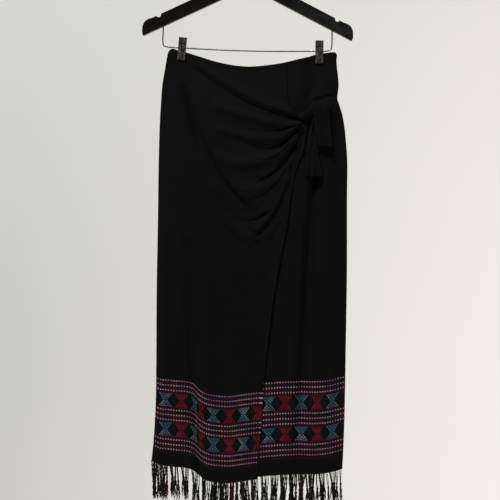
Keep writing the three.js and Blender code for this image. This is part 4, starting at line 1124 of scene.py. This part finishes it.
# Long pleats of a strip: place across (-1 to 1) at the knot and at the end, half width, and how
# far the pleat stands out at the knot and at the end.
FRONT_PLEATS = [
    (-0.42, -0.30, 0.12, -2.8, -1.8), (0.30, 0.42, 0.24, 2.6, 1.6), (-0.75, -0.62, 0.16, 1.8, 1.6),
    (0.66, 0.72, 0.10, -1.8, -1.0), (0.02, 0.10, 0.10, -0.9, -1.4),
]
BACK_PLEATS = [
    (-0.20, -0.34, 0.14, -2.4, -1.6), (0.50, 0.62, 0.20, 2.4, 2.2), (-0.72, -0.80, 0.18, 1.6, 2.8),
    (0.20, 0.16, 0.10, 1.2, -2.0), (0.95, -0.10, 0.16, 0.0, 2.6), (-0.05, 0.34, 0.10, 0.4, 1.4),
]


def tail(name, table, pleats, slant, count=90, columns=44):
    """A hanging end: stations along it, pleats that run down it, and a hem cut on a slant."""
    rows = smooth_rows(table, count)
    t = np.linspace(0, 1, count)[:, None]
    s = np.linspace(-1, 1, columns)[None, :]
    relief = rows[:, 4:5] * (1 - s**2)
    for place, end_place, half, first, last in pleats:
        moved = mix(place, end_place, t) + 0.06 * np.sin(6 * t + 9 * place)
        relief = relief + mix(first, last, t) * np.exp(-(((s - moved) / half) ** 2))
    relief = relief - 1.6 * np.abs(s) ** 10
    relief = relief + 0.7 * np.sin(17 * t + 2.5 * s + 1) * np.sin(5 * s + 7 * t) * np.sin(np.pi * t)
    wobble = 0.6 * np.sin(9 * t + 4) * np.abs(s) ** 3
    x = rows[:, 0:1] + s * (rows[:, 3:4] / 2 + wobble)
    y = rows[:, 1:2] - relief * np.minimum(1, 0.25 + 3 * t)
    z = rows[:, 2:3] + slant * s * t**2 + 0.8 * np.sin(7 * s + 1) * t**6
    points = np.stack([x, y, z], axis=-1)
    piece = new_piece(name, points, grid_quads(count, columns))
    add_places(piece, {"cloth": np.stack([x - KNOT_MIDDLE, z, 0 * x], axis=-1)})
    return doubled(piece, TAIL_THICK), points


tail_front, front_points = tail("tie_end_front", TAIL_FRONT, FRONT_PLEATS, -0.6)
tail_back, back_points = tail("tie_end_back", TAIL_BACK, BACK_PLEATS, 0.5)
finish_piece(tail_front, plain_cloth, "cloth_tie", "tie_tail_front")
finish_piece(tail_back, plain_cloth, "cloth_tie", "tie_tail_back")
print("tie ends:", round(sheet_area(front_points), 5), round(sheet_area(back_points), 5), "square metres")

# %% [markdown]
# ## The knotted fringe
# The warp ends that stick out below the cloth are twisted in twos and knotted, and the loose
# yarn below each knot fluffs out. Every lock is a little different in length and lean, a few
# hang together in clumps, and here and there a red or blue-grey end shows among the black.
# Hair strands would be quick to comb, but they don't leave Blender as a mesh, so each string and
# each loose end is a thin tube. A sine of the lock's number stands for chance, so that every run
# makes the same fringe.

# %% One lock of the fringe
LOCK_SPACING = 10.5
TO_KNOT, LOCK_LONG = 37, 78  # from the hem to the middle of the knot, and to the loose ends
YARN_ENDS = 12           # in the tuft of one lock
ACROSS = (1, 0.1, 0)     # the way in which a string's first side faces


def uneven(n, salt):
    """A number from -1 to 1 for the lock numbered n; salt keeps one use apart from the next."""
    return math.sin(n * 12.9898 + salt * 78.233)


def plied(turns):
    """Lobes for a tube, which make it two yarns laid round each other."""
    return lambda along, angle: 1 + 0.2 * np.cos(2 * angle - 2 * np.pi * turns * along)


def lock_parts(x, y, z, n, facing, lean):
    """Twisted strings that run together in a knot, and a tuft of crinkled yarn ends below."""
    knot_at = TO_KNOT + 7 * uneven(n, 3)
    long = LOCK_LONG + 6 * uneven(n, 1)
    sway = lean + 1.7 * uneven(n, 2)
    out = facing * (0.6 + 0.6 * uneven(n, 4))
    plump = 0.95 + 0.30 * uneven(n, 5)
    strings = 1 if uneven(n, 11) > 0.75 else 2
    parts = []
    t = np.linspace(0, 1, 22)
    for k in range(strings):
        apart = (k - (strings - 1) / 2) * (3.2 + 0.9 * uneven(n, 12))
        path = np.stack([
            x + apart * (1 - t**4) + sway * t**1.5 + 0.4 * np.sin(5 * t + n + 2 * k),
            y + out * t + 0.25 * k, z + 1.5 - (knot_at + 1.5) * t,
        ], axis=-1)
        thick = (1.9 if strings == 1 else 1.15) * plump
        parts.append(tube_parts(path, thick, 8, ACROSS, plied(5 + uneven(n + k, 13))))
    s = np.linspace(0, 1, 8)
    path = np.stack([x + sway + 0 * s, y + out + 0 * s, z - knot_at + 2.4 - 7.0 * s], axis=-1)
    girth = 1.2 + 1.7 * plump * np.sin(np.pi * np.clip(s, 0.02, 0.98)) ** 0.7
    parts.append(tube_parts(path, girth, 8, ACROSS, lambda a, b: 1 + 0.16 * np.sin(2 * b + 7 * a)))
    tuft = 0.5 + 0.7 * abs(uneven(n, 10))
    for k in range(YARN_ENDS):
        angle = 2 * math.pi * k / YARN_ENDS + n
        spread = (0.5 + 2.8 * abs(uneven(n * YARN_ENDS + k, 6))) * tuft
        length = (long - knot_at - 2) * (0.4 + 0.6 * abs(uneven(n * YARN_ENDS + k, 7)))
        u = np.linspace(0, 1, 11)
        crinkle = 0.75 * np.sin((15 + 5 * uneven(k, 14)) * u + 2 * k + n) * (0.3 + u)
        path = np.stack([
            x + sway * (1 + 0.3 * u) + np.cos(angle) * (0.6 + spread * np.sin(2.4 * u)) + crinkle,
            y + out + np.sin(angle) * (0.6 + 0.6 * spread * np.sin(2.4 * u)) + 0.5 * crinkle,
            z - knot_at - 1.5 - length * u,
        ], axis=-1)
        parts.append(tube_parts(path, (0.82 - 0.5 * u**4) * plump, 4, ACROSS))
    return parts


# %% The fringe of each panel
yarn, yarn_tree, yarn_shader = new_material("black fringe yarn", roughness=0.85, specular=0.1)
fuzz = noise(yarn_tree, 700.0, 2.0, (1, 1, 0.25))
two_tones(yarn_tree, yarn_shader, fuzz * 0.7, place_socket(yarn_tree, "dye"), (0.0035, 0.0033, 0.0034))
add_relief(yarn_tree, yarn_shader, fuzz, 0.0005, 0.8)
yarn_shader.inputs["Sheen Weight"].default_value = 0.02
YARN_BLACK, YARN_BROWN = (0.0060, 0.0056, 0.0058), (0.016, 0.0080, 0.0075)
YARN_RED, YARN_GREY = (0.050, 0.005, 0.007), (0.030, 0.038, 0.046)
STRIP_ROWS = (0.0, 0.6, 1.3)  # how far below the hem


def make_fringe(name, hem_row, facing, first_at, leans, dyes, node, lower=0.0):
    """A narrow strip below the hem and the locks that grow from it."""
    x, y, z = hem_row[:, 0], hem_row[:, 1], hem_row[:, 2]
    inner = y - facing * SOLID_CLOTH / 2
    strip = np.stack([
        np.stack([x, inner + facing * 0.5 * (drop < 0.7), z - drop], axis=-1) for drop in STRIP_ROWS
    ])
    parts = [(strip, grid_quads(*strip.shape[:2], turned=facing > 0))]
    shades = [np.tile(YARN_BLACK, (strip.shape[0] * strip.shape[1], 1))]
    start, end = x[0] + first_at, x[-1] - 3
    for n in range(int((end - start) / LOCK_SPACING) + 1):
        at = start + n * LOCK_SPACING + 1.5 * uneven(n, 8)
        top = np.interp(at, x, z) - lower
        some = lock_parts(at, np.interp(at, x, inner), top, n, facing, leans.get(n, 0.0))
        parts += some
        shade = dyes.get(n, YARN_BROWN if uneven(n, 9) > 0.75 else YARN_BLACK)
        shades += [np.tile(shade, (len(points), 1)) for points, _ in some]
    piece = new_piece(name, *joined_parts(parts))
    add_places(piece, {"dye": np.concatenate(shades)})
    finish_piece(piece, yarn, "fringe_yarn", node)
    print(name, "locks:", n + 1, "faces:", len(piece.data.polygons))
    return piece


# Which locks lean, and how far in millimetres; two that lean together make a clump.
OVER_LEANS = {0: 3.0, 1: 2.5, 3: -2.0, 6: 2.4, 7: -2.0, 11: 2.0, 12: -2.6, 16: 2.2, 17: -1.8, 19: 1.5}
UNDER_LEANS = {5: 2.2, 6: -2.4, 13: 2.6, 14: -2.2, 18: 2.0, 19: -2.0, 22: 2.0, 23: 3.0, 25: -3.0}
BACK_LEANS = {n: (2.8 if n % 2 else -2.8) + 0.8 * uneven(n, 15) for n in range(1, 37)}
OVER_DYES, UNDER_DYES = {3: YARN_RED, 16: YARN_RED}, {10: YARN_GREY, 11: YARN_GREY}
BACK_DYES = {4: YARN_RED, 30: YARN_RED}
fringe_over = make_fringe("fringe_wrap", over_grid[-1], -1, 3.5, OVER_LEANS, OVER_DYES, "fringe_over")
fringe_under = make_fringe("fringe_below", under_grid[-1], -1, 3.5, UNDER_LEANS, UNDER_DYES, "fringe_under")
fringe_back = make_fringe(
    "fringe_behind", back_grid[-1], 1, 8.75, BACK_LEANS, BACK_DYES, "fringe_back", lower=1.5,
)

# %% [markdown]
# ## The wooden hanger
# It is a flat trouser hanger: two arms sawn from a board, rounded over with a router, stained
# black and lacquered. The grain runs along each arm. The lacquer is thin on the lower
# edge, where the reddish wood shows through. Towards the end of the right arm a lighter,
# hazy grey-blue is painted into the colour: a painted highlight from the window on the right.
# The work goes the same way here: half an outline is drawn and mirrored, given its thickness, and
# a Bevel modifier does what the router does.

# %% Outline of the wooden body
TILT = math.radians(1.45)  # the hanger hangs a little lower on its right
HALF_WIDTH, APEX_TOP, APEX_BOTTOM, TIP_INSIDE, TIP_BOTTOM = 222.5, -70.5, -100.0, 219.0, -207.7
END_RADIUS, APEX_RADIUS, WOOD_THICK = 20.0, 26.0, 13.0
NOTCH_AT, NOTCH_WIDE, NOTCH_DEEP = 188.0, 10.0, 5.5
ARM_SLOPE = (APEX_BOTTOM - TIP_BOTTOM) / TIP_INSIDE


def arm_top(x):
    return APEX_TOP - ARM_SLOPE * abs(x)


def bend(start, by, end, steps=10):
    """Points of a rounded corner, without its start."""
    t = np.linspace(0, 1, steps + 1)[1:, None]
    start, by, end = (np.array(p, dtype=float) for p in (start, by, end))
    return ((1 - t) ** 2 * start + 2 * t * (1 - t) * by + t**2 * end).tolist()


def half_outline():
    """The right half, from the middle of the lower edge round the tip to the apex."""
    shoulder = HALF_WIDTH - END_RADIUS
    near, far = NOTCH_AT - NOTCH_WIDE / 2, NOTCH_AT + NOTCH_WIDE / 2
    tip_low = [TIP_INSIDE, TIP_BOTTOM]
    tip_side = [HALF_WIDTH, TIP_BOTTOM + 12]
    notch = [NOTCH_AT, arm_top(NOTCH_AT) - NOTCH_DEEP]
    line = [[0.0, APEX_BOTTOM]] + [[x, APEX_BOTTOM - ARM_SLOPE * x] for x in range(20, 220, 20)]
    line += [tip_low] + bend(tip_low, [HALF_WIDTH, TIP_BOTTOM + 1], tip_side)
    line += bend(tip_side, [HALF_WIDTH, arm_top(shoulder) - 4], [shoulder, arm_top(shoulder)])
    line += [[far, arm_top(far)]] + bend([far, arm_top(far)], [far - 0.6, notch[1] + 0.6], notch, 7)
    line += bend(notch, [near + 0.6, notch[1] + 0.4], [near, arm_top(near)], 7)
    line += [[x, arm_top(x)] for x in range(170, 30, -20)]
    line += [[APEX_RADIUS, arm_top(APEX_RADIUS)]]
    return line


# %% Make the wooden body
ROUTED = 2.6             # the width that the router takes off each edge


def soften(piece, width, segments=2, angle=40):
    """Rounds the edges that are sharper than an angle."""
    rounding = piece.modifiers.new("soft edges", "BEVEL")
    rounding.width, rounding.segments = width * MM, segments
    rounding.limit_method, rounding.angle_limit = "ANGLE", math.radians(angle)
    return piece


def wooden_body():
    right = half_outline()
    apex = bend(right[-1], [0, APEX_TOP + 3], [-right[-1][0], right[-1][1]], 12)
    outline = right + apex + [[-x, z] for x, z in reversed(right[1:-1])]
    count = len(outline)
    points = [(x, y, z) for y in (-WOOD_THICK / 2, WOOD_THICK / 2) for x, z in outline]
    faces = end_caps(2, count)
    faces += [[(i + 1) % count, i, count + i, count + (i + 1) % count] for i in range(count)]
    piece = new_piece("wooden_body", points, faces)
    grain = [(abs(x) + ARM_SLOPE * -z * 0.5, y, z + ARM_SLOPE * abs(x)) for x, y, z in points]
    add_places(piece, {"grain": np.array(grain)})
    soften(piece, ROUTED, 5, 60)
    weighted = piece.modifiers.new("even shading", "WEIGHTED_NORMAL")
    weighted.keep_sharp = False
    piece.rotation_euler = (0, TILT, 0)
    return piece


wood, wood_tree, wood_shader = new_material("black stained wood under lacquer", 0.3, specular=0.16)
grain_place = place_socket(wood_tree, "grain")
streaks = noise(wood_tree, 0.12, 4.0, (0.25, 2.2, 6.0), grain_place)
wear_and_highlight_noise = noise(wood_tree, 0.05, 3.0, (1, 1, 1), grain_place)
_, _, up_the_arm = read_place(wood_tree, "grain")
to_the_right, _, _ = read_place(wood_tree)
thin_lacquer = up_the_arm.steps(-94.0, -101.0).both(wear_and_highlight_noise.steps(0.35, 0.6))
# Towards the end of the right arm a lighter grey-blue is painted in: a painted highlight for the light of
# the window on the right, mottled by the same noise as the wear.
right_arm_painted_highlight = to_the_right.steps(0.03, 0.17).both(wear_and_highlight_noise.steps(0.30, 0.65))
stain = blend_colours(wood_tree, streaks, (0.0013, 0.0012, 0.0013), (0.0036, 0.0030, 0.0030))
stain = blend_colours(wood_tree, thin_lacquer * 0.8, stain, (0.020, 0.0050, 0.0035))
# Blends the painted highlight's grey-blue over the stain.
two_tones(wood_tree, wood_shader, right_arm_painted_highlight * 0.85, stain, (0.0120, 0.0130, 0.0140))
wood_tree.links.new((streaks * 0.12 + wear_and_highlight_noise * 0.12 + 0.14).socket, wood_shader.inputs["Roughness"])
add_relief(wood_tree, wood_shader, streaks, 0.0003, 0.35)
finish_piece(wooden_body(), wood, "hanger_wood", "hanger_body")

# %% [markdown]
# ## Hook and trouser bar
# Both are bright drawn wire. The hook is screwed into the apex and closes most of a circle. The
# bar drops out of each arm, turns a tight corner and sags a little under the skirt. A curve with
# a round bevel would look the same. A tube of points is used, because its end can be rounded off.

# %% A smooth line through points, spaced as a bent wire is
def smooth_path(points, per_span=10):
    """A Catmull-Rom line whose spans count by the square root of their length."""
    points = np.array(points, dtype=float)
    ends = np.concatenate([[2 * points[0] - points[1]], points, [2 * points[-1] - points[-2]]])
    path = []
    for i in range(1, len(ends) - 2):
        before, a, b, after = ends[i - 1 : i + 3]
        gaps = [max(np.linalg.norm(q - p) ** 0.5, 1e-6) for p, q in ((before, a), (a, b), (b, after))]
        leave = (a - before) / gaps[0] - (b - before) / (gaps[0] + gaps[1]) + (b - a) / gaps[1]
        arrive = (b - a) / gaps[1] - (after - a) / (gaps[1] + gaps[2]) + (after - b) / gaps[2]
        leave, arrive = leave * gaps[1], arrive * gaps[1]
        for t in np.linspace(0, 1, per_span, endpoint=False):
            path.append(
                (2 * t**3 - 3 * t**2 + 1) * a + (t**3 - 2 * t**2 + t) * leave
                + (3 * t**2 - 2 * t**3) * b + (t**3 - t**2) * arrive
            )
    return np.array(path + [ends[-2]])


# %% Make the hook and the bar
HOOK_WIRE, HOOK_LOOP = 1.9, 22.0
HOOK_START, HOOK_END, HOOK_STEPS = -52, 205, 16  # degrees round the loop
BAR_WIRE, BAR_HALF, BAR_HEIGHT, BAR_SAG, BAR_CORNER = 1.5, 178.0, -229.0, 5.0, 7.0


def bar_height(x):
    return BAR_HEIGHT - BAR_SAG * (1 - (x / BAR_HALF) ** 2)


hook_centre = HOOK_WIRE - HOOK_LOOP
neck = hook_centre - HOOK_LOOP - 6
hook_points = [(0, 0, -92), (0, 0, neck - 8), (0, 0, neck)]
for i in range(HOOK_STEPS + 1):
    angle = math.radians(mix(HOOK_START, HOOK_END, i / HOOK_STEPS))
    hook_points.append((HOOK_LOOP * math.cos(angle), 0, hook_centre + HOOK_LOOP * math.sin(angle)))
hook_path = smooth_path(hook_points, 8)
rounded = np.ones(len(hook_path))
rounded[-4:] = (0.97, 0.88, 0.7, 0.35)
hook = new_piece("hook_wire", *tube_parts(hook_path, HOOK_WIRE * rounded, 20))

bar_top = APEX_BOTTOM - ARM_SLOPE * BAR_HALF + 9
ON_CORNER = 0.29         # 1 - cos 45: halfway round a quarter turn
bar_points = []
for side in (-1, 1):
    drop = [
        (side * BAR_HALF, 0, bar_top), (side * BAR_HALF, 0, bar_top - 12),
        (side * BAR_HALF, 0, BAR_HEIGHT + BAR_CORNER),
        (side * (BAR_HALF - BAR_CORNER * ON_CORNER), 0, BAR_HEIGHT + BAR_CORNER * ON_CORNER),
        (side * (BAR_HALF - BAR_CORNER), 0, bar_height(BAR_HALF - BAR_CORNER)),
    ]
    sag = [(x, 0, bar_height(x)) for x in (-120, -60, 0, 60, 120)]
    bar_points += drop + sag if side < 0 else drop[::-1]
bar = new_piece("trouser_bar", *tube_parts(smooth_path(bar_points, 12), BAR_WIRE, 16))
for piece in (hook, bar):
    piece.rotation_euler = (0, TILT, 0)

steel, steel_tree, steel_shader = new_material("drawn steel wire", roughness=0.28, metallic=1.0)
drawn = noise(steel_tree, 160.0, 2.0, (0.15, 1, 1))
two_tones(steel_tree, steel_shader, drawn, (0.10, 0.097, 0.092), (0.20, 0.195, 0.185))
steel_tree.links.new((drawn * 0.2 + 0.2).socket, steel_shader.inputs["Roughness"])
add_relief(steel_tree, steel_shader, drawn, 0.0001, 0.3)
finish_piece(hook, steel, "hook_steel", "hanger_hook")
finish_piece(bar, steel, "bar_steel", "hanger_bar")

# %% [markdown]
# ## The clips
# Each clip is two jaws of stamped, brushed sheet that swing on the bar, with a coil spring
# between them and a ribbed rubber pad in each jaw. The sheet is bent back at its sides to
# stiffen it. The front jaw has a slot above the bar, where the spring's leg is hooked in.
# A jaw is one line up the clip and one section across it, with faces between. Solidify gives the
# sheet its thickness and Bevel its soft edges, so the slot is just a face left out.

# %% The sheet of a jaw
JAW_WIDE, SHEET = 17.0, 0.99
PAD_FACE, PAD_THICK = FACE + GAP, 2.0
HOLD_AT = PAD_FACE + PAD_THICK + GAP
FINGER_FROM, FINGER_STEP = 9, 0.25  # the sheet steps out above this height, where a finger presses
SLOT_FROM, SLOT_COLUMNS = 6.8, (4, 5)  # the faces that are left out for the spring
JAW_LINE = [  # height on the clip, distance from the middle plane
    (-26.0, HOLD_AT), (-24.6, HOLD_AT), (-16.0, HOLD_AT), (-13.0, HOLD_AT), (-5.0, 4.6), (2.0, 4.6),
    (SLOT_FROM, 4.9), (9.2, 5.1), (11.0, 5.25), (18.0, 5.85), (20.8, 6.15), (21.6, 6.2),
]
JAW_COLUMNS = [  # across, how far the side is bent back
    (-7.5, 2.2), (-7.5, 1.0), (-7.3, 0.35), (-6.8, 0.0), (-6.2, 0.0), (0.0, 0.0), (6.2, 0.0), (6.8, 0.0),
    (7.3, 0.35), (7.5, 1.0), (7.5, 2.2),
]


def jaw_sheet(sign, with_slot):
    points, faces = [], []
    for height, away in JAW_LINE:
        step = FINGER_STEP if height > FINGER_FROM else 0.0
        points += [(across, sign * (away + step - back_by), height) for across, back_by in JAW_COLUMNS]
    columns = len(JAW_COLUMNS)
    for r in range(len(JAW_LINE) - 1):
        for c in range(columns - 1):
            in_slot = JAW_LINE[r][0] == SLOT_FROM and c in SLOT_COLUMNS
            if not (with_slot and in_slot):
                a = r * columns + c
                faces.append([a, a + 1, a + 1 + columns, a + columns][:: -sign])
    return points, faces


def box_parts(low, high):
    """A plain box between two corners, to be bevelled."""
    (x0, y0, z0), (x1, y1, z1) = low, high
    points = [(x, y, z) for x in (x0, x1) for y in (y0, y1) for z in (z0, z1)]
    faces = [[0, 1, 3, 2], [4, 6, 7, 5], [0, 4, 5, 1], [2, 3, 7, 6], [0, 2, 6, 4], [1, 5, 7, 3]]
    return points, faces


def ears(sign):
    """The two flaps that pass the bar; those of the front jaw lie outside the others."""
    inset = 1.6 if sign < 0 else 2.6
    parts = []
    for side in (-1, 1):
        x = side * (JAW_WIDE / 2 - inset)
        y = sorted((sign * 5.2, -sign * 3.0))
        parts.append(box_parts((x - 0.5, y[0], -4.0), (x + 0.5, y[1], 4.0)))
    return parts


# %% Pads and the spring
PAD_LOW, PAD_HIGH, PAD_HALF = -27.4, -16.4, 8.3
RIB = 0.35
COIL_RADIUS, COIL_HALF, COIL_WIRE, LEG_WIRE = 3.2, 5.0, 0.55, 0.5


def ribbed_pad(sign):
    """A rubber pad with small ribs towards the cloth."""
    far = PAD_FACE + PAD_THICK
    heights = np.linspace(PAD_LOW, PAD_HIGH, 26)
    line = [(PAD_FACE + (RIB if i % 2 else 0.0), h) for i, h in enumerate(heights)]
    line += [(far, PAD_HIGH), (far, PAD_LOW)]
    points = [(x, sign * y, z) for x in (-PAD_HALF, PAD_HALF) for y, z in line]
    n = len(line)
    faces = [[i, (i + 1) % n, n + (i + 1) % n, n + i][:: -sign] for i in range(n)]
    faces += [list(range(n))[::sign], [n + i for i in reversed(range(n))][::sign]]
    return points, faces


def coil():
    """Seven turns of wire across the clip, and a leg from each end to its jaw."""
    turns, steps = 7, 18
    t = np.linspace(0, 1, turns * steps + 1)
    angle = 2 * np.pi * turns * t
    across = -COIL_HALF + 2 * COIL_HALF * t
    path = np.stack([across, COIL_RADIUS * np.cos(angle), COIL_RADIUS * np.sin(angle)], axis=-1)
    legs = [
        [(-COIL_HALF, COIL_RADIUS, 0), (-5.1, 4.0, 3.0), (-5.0, 4.4, 7.0)],
        [(COIL_HALF, COIL_RADIUS, 0), (5.1, -4.0, 3.0), (5.0, -4.4, 7.2)],
    ]
    parts = [tube_parts(path, COIL_WIRE, 7, (1, 0, 0))]
    return parts + [tube_parts(smooth_path(leg, 5), LEG_WIRE, 7, (1, 0, 0)) for leg in legs]


# %% Brushed sheet, spring steel and rubber
def brushed(name, dark, bright, roughness):
    """Metal with fine lines up the sheet and smudges over them."""
    material, tree, shader = new_material(name, roughness=roughness, metallic=1.0)
    lines = noise(tree, 330.0, 2.0, (1.0, 1.0, 0.12)).steps(0.38, 0.62)
    smudge = noise(tree, 150.0, 3.0).steps(0.35, 0.65)
    two_tones(tree, shader, lines * 0.5 + smudge * 0.5, dark, bright)
    tree.links.new((lines * 0.25 + smudge * 0.15 + (roughness - 0.2)).socket, shader.inputs["Roughness"])
    add_relief(tree, shader, lines, 0.00012, 0.5)
    return material


clip_metal = brushed("brushed clip metal", (0.035, 0.030, 0.024), (0.125, 0.112, 0.092), 0.46)
# A near-black brushed metal for the side of each jaw sheet that Solidify adds: a painted shade for the dark
# inside of the clip that shows through the slot.
painted_inner_shade = brushed("painted shade on the inside of the clip", (0.006, 0.0035, 0.0020), (0.016, 0.0095, 0.0055), 0.6)
spring_metal = brushed("spring steel", (0.16, 0.155, 0.15), (0.30, 0.29, 0.28), 0.32)
rubber, rubber_tree, rubber_shader = new_material("brown-black rubber", roughness=0.75, specular=0.3)
dusty = noise(rubber_tree, 300.0, 3.0)
two_tones(rubber_tree, rubber_shader, dusty, (0.010, 0.0065, 0.0055), (0.020, 0.0130, 0.0110))
add_relief(rubber_tree, rubber_shader, dusty, 0.0001, 0.4)


# %% Put two clips together
def make_clip(side, across, lean):
    """A clip on the bar; across is its place, lean its turn in degrees."""
    along_bar = across * math.cos(TILT) - BAR_HEIGHT * math.sin(TILT)
    height = bar_height(along_bar) * math.cos(TILT) - along_bar * math.sin(TILT)
    place = Matrix.Translation(Vector((across, 0, height)) * MM)
    place = place @ Matrix.Rotation(math.radians(lean), 4, "Y")
    made = []
    for sign, which in ((-1, "front"), (1, "back")):
        sheet = new_piece(f"jaw_sheet_{side}_{which}", *jaw_sheet(sign, with_slot=sign < 0))
        solid = sheet.modifiers.new("sheet", "SOLIDIFY")
        solid.thickness, solid.offset = SHEET * MM, 1
        # The side that Solidify adds takes the near-black painted shade meant for the clip's dark inside.
        solid.material_offset = 1        # the added side of the sheet takes the next material
        soften(sheet, 0.22)
        finish_piece(sheet, clip_metal, "clip_metal", f"clip_{side}_jaw_{which}")
        sheet.data.materials.append(painted_inner_shade)
        flaps = soften(new_piece(f"jaw_ears_{side}_{which}", *joined_parts(ears(sign))), 0.3)
        finish_piece(flaps, clip_metal, "clip_metal")
        pad = soften(new_piece(f"pad_{side}_{which}", *ribbed_pad(sign)), 0.12, 1, 50)
        finish_piece(pad, rubber, "clip_rubber", f"clip_{side}_pad_{which}")
        made += [sheet, flaps, pad]
    spring = new_piece(f"spring_coil_{side}", *joined_parts(coil()))
    finish_piece(spring, spring_metal, "clip_spring", f"clip_{side}_spring")
    made.append(spring)
    for piece in made:
        piece.matrix_world = place
    print("clip", side, "hangs at", round(height, 1))


make_clip("left", CLIP_ACROSS[0], 5)
make_clip("right", CLIP_ACROSS[1], 0.5)

# %% [markdown]
# ## The light and the room
# The skirt hangs in soft daylight in front of a pale wall. A round room with a curved foot stands
# for wall and floor, so that the picture is pale whichever way the camera looks. Its paint glows
# a little, brighter to the right, as a wall does that a window lights. The lamp over the skirt is
# high and in front, so that each ridge of cloth is lit from above and its underside falls dark.

# %% Floor and wall
FLOOR_Z = -1.75          # the room is in metres
ROOM_FLAT, ROOM_SWEEP, WALL_TOP = 3.2, 2.6, 3.2
SWEEP_STEPS, ROOM_SIDES = 12, 96


def make_room():
    """A profile from the middle of the floor up the wall, turned once round."""
    profile = [(0.0004, FLOOR_Z), (ROOM_FLAT / 2, FLOOR_Z)]
    for i in range(SWEEP_STEPS + 1):
        turn = math.radians(90 * i / SWEEP_STEPS)
        rise = ROOM_SWEEP * (1 - math.cos(turn))
        profile.append((ROOM_FLAT + ROOM_SWEEP * math.sin(turn), FLOOR_Z + rise))
    profile.append((ROOM_FLAT + ROOM_SWEEP, WALL_TOP))
    angle = 2 * np.pi * np.arange(ROOM_SIDES) / ROOM_SIDES
    points = [[(r * math.cos(a), r * math.sin(a), h) for a in angle] for r, h in profile]
    room = new_piece("pale_room", np.array(points) / MM, grid_quads(len(profile), ROOM_SIDES, closed=True))
    return room


room = make_room()

# %% Paint that glows a little
paint, paint_tree, paint_shader = new_material("pale wall paint", roughness=0.9, specular=0.1)
wall_x, wall_y, wall_z = read_place(paint_tree)
plaster = noise(paint_tree, 0.9, 3.0)
to_right = (wall_x + plaster * 0.3 - 0.15).steps(-1.3, 1.3)
to_top = wall_z.steps(-1.9, 0.75)
left_glow = blend_colours(paint_tree, to_top, (0.425, 0.422, 0.398), (0.590, 0.595, 0.562))
right_glow = blend_colours(paint_tree, to_top, (0.785, 0.765, 0.712), (0.705, 0.690, 0.642))
glow = blend_colours(paint_tree, to_right, left_glow, right_glow)
in_front = wall_y.steps(-0.5, -3.5)
glow = blend_colours(paint_tree, in_front * 0.85, glow, (0.07, 0.07, 0.068))
paint_tree.links.new(glow, paint_shader.inputs["Emission Color"])
paint_shader.inputs["Emission Strength"].default_value = 1.0
paint_shader.inputs["Base Color"].default_value = (0.10, 0.10, 0.095, 1)
room.data.materials.append(paint)


# %% Lamps and sky
def soft_lamp(name, place, aim, size, power, colour):
    data = bpy.data.lights.new(name, "AREA")
    data.shape, data.size, data.size_y = "RECTANGLE", size[0], size[1]
    data.energy, data.color = power, colour
    lamp = bpy.data.objects.new(name, data)
    lamp.location = place
    lamp.rotation_euler = (Vector(aim) - Vector(place)).to_track_quat("-Z", "Y").to_euler()
    bpy.context.scene.collection.objects.link(lamp)
    return lamp


soft_lamp("high window", (-1.3, -2.7, 3.4), (0, 0, -0.7), (1.2, 1.2), 270, (1.0, 0.985, 0.96))
soft_lamp("right fill", (3.0, -2.2, -0.2), (0, 0, -0.7), (1.4, 2.0), 14, (1.0, 0.98, 0.95))
soft_lamp("behind", (1.0, 2.9, 3.0), (0, 0, -0.6), (1.6, 1.4), 200, (1.0, 0.985, 0.96))

world = bpy.data.worlds.new("pale sky")
bpy.context.scene.world = world
world.use_nodes = True
sky = world.node_tree.nodes["Background"]
sky.inputs["Color"].default_value = (0.93, 0.93, 0.90, 1)
sky.inputs["Strength"].default_value = 0.25
bpy.context.scene.view_settings.view_transform = "Standard"
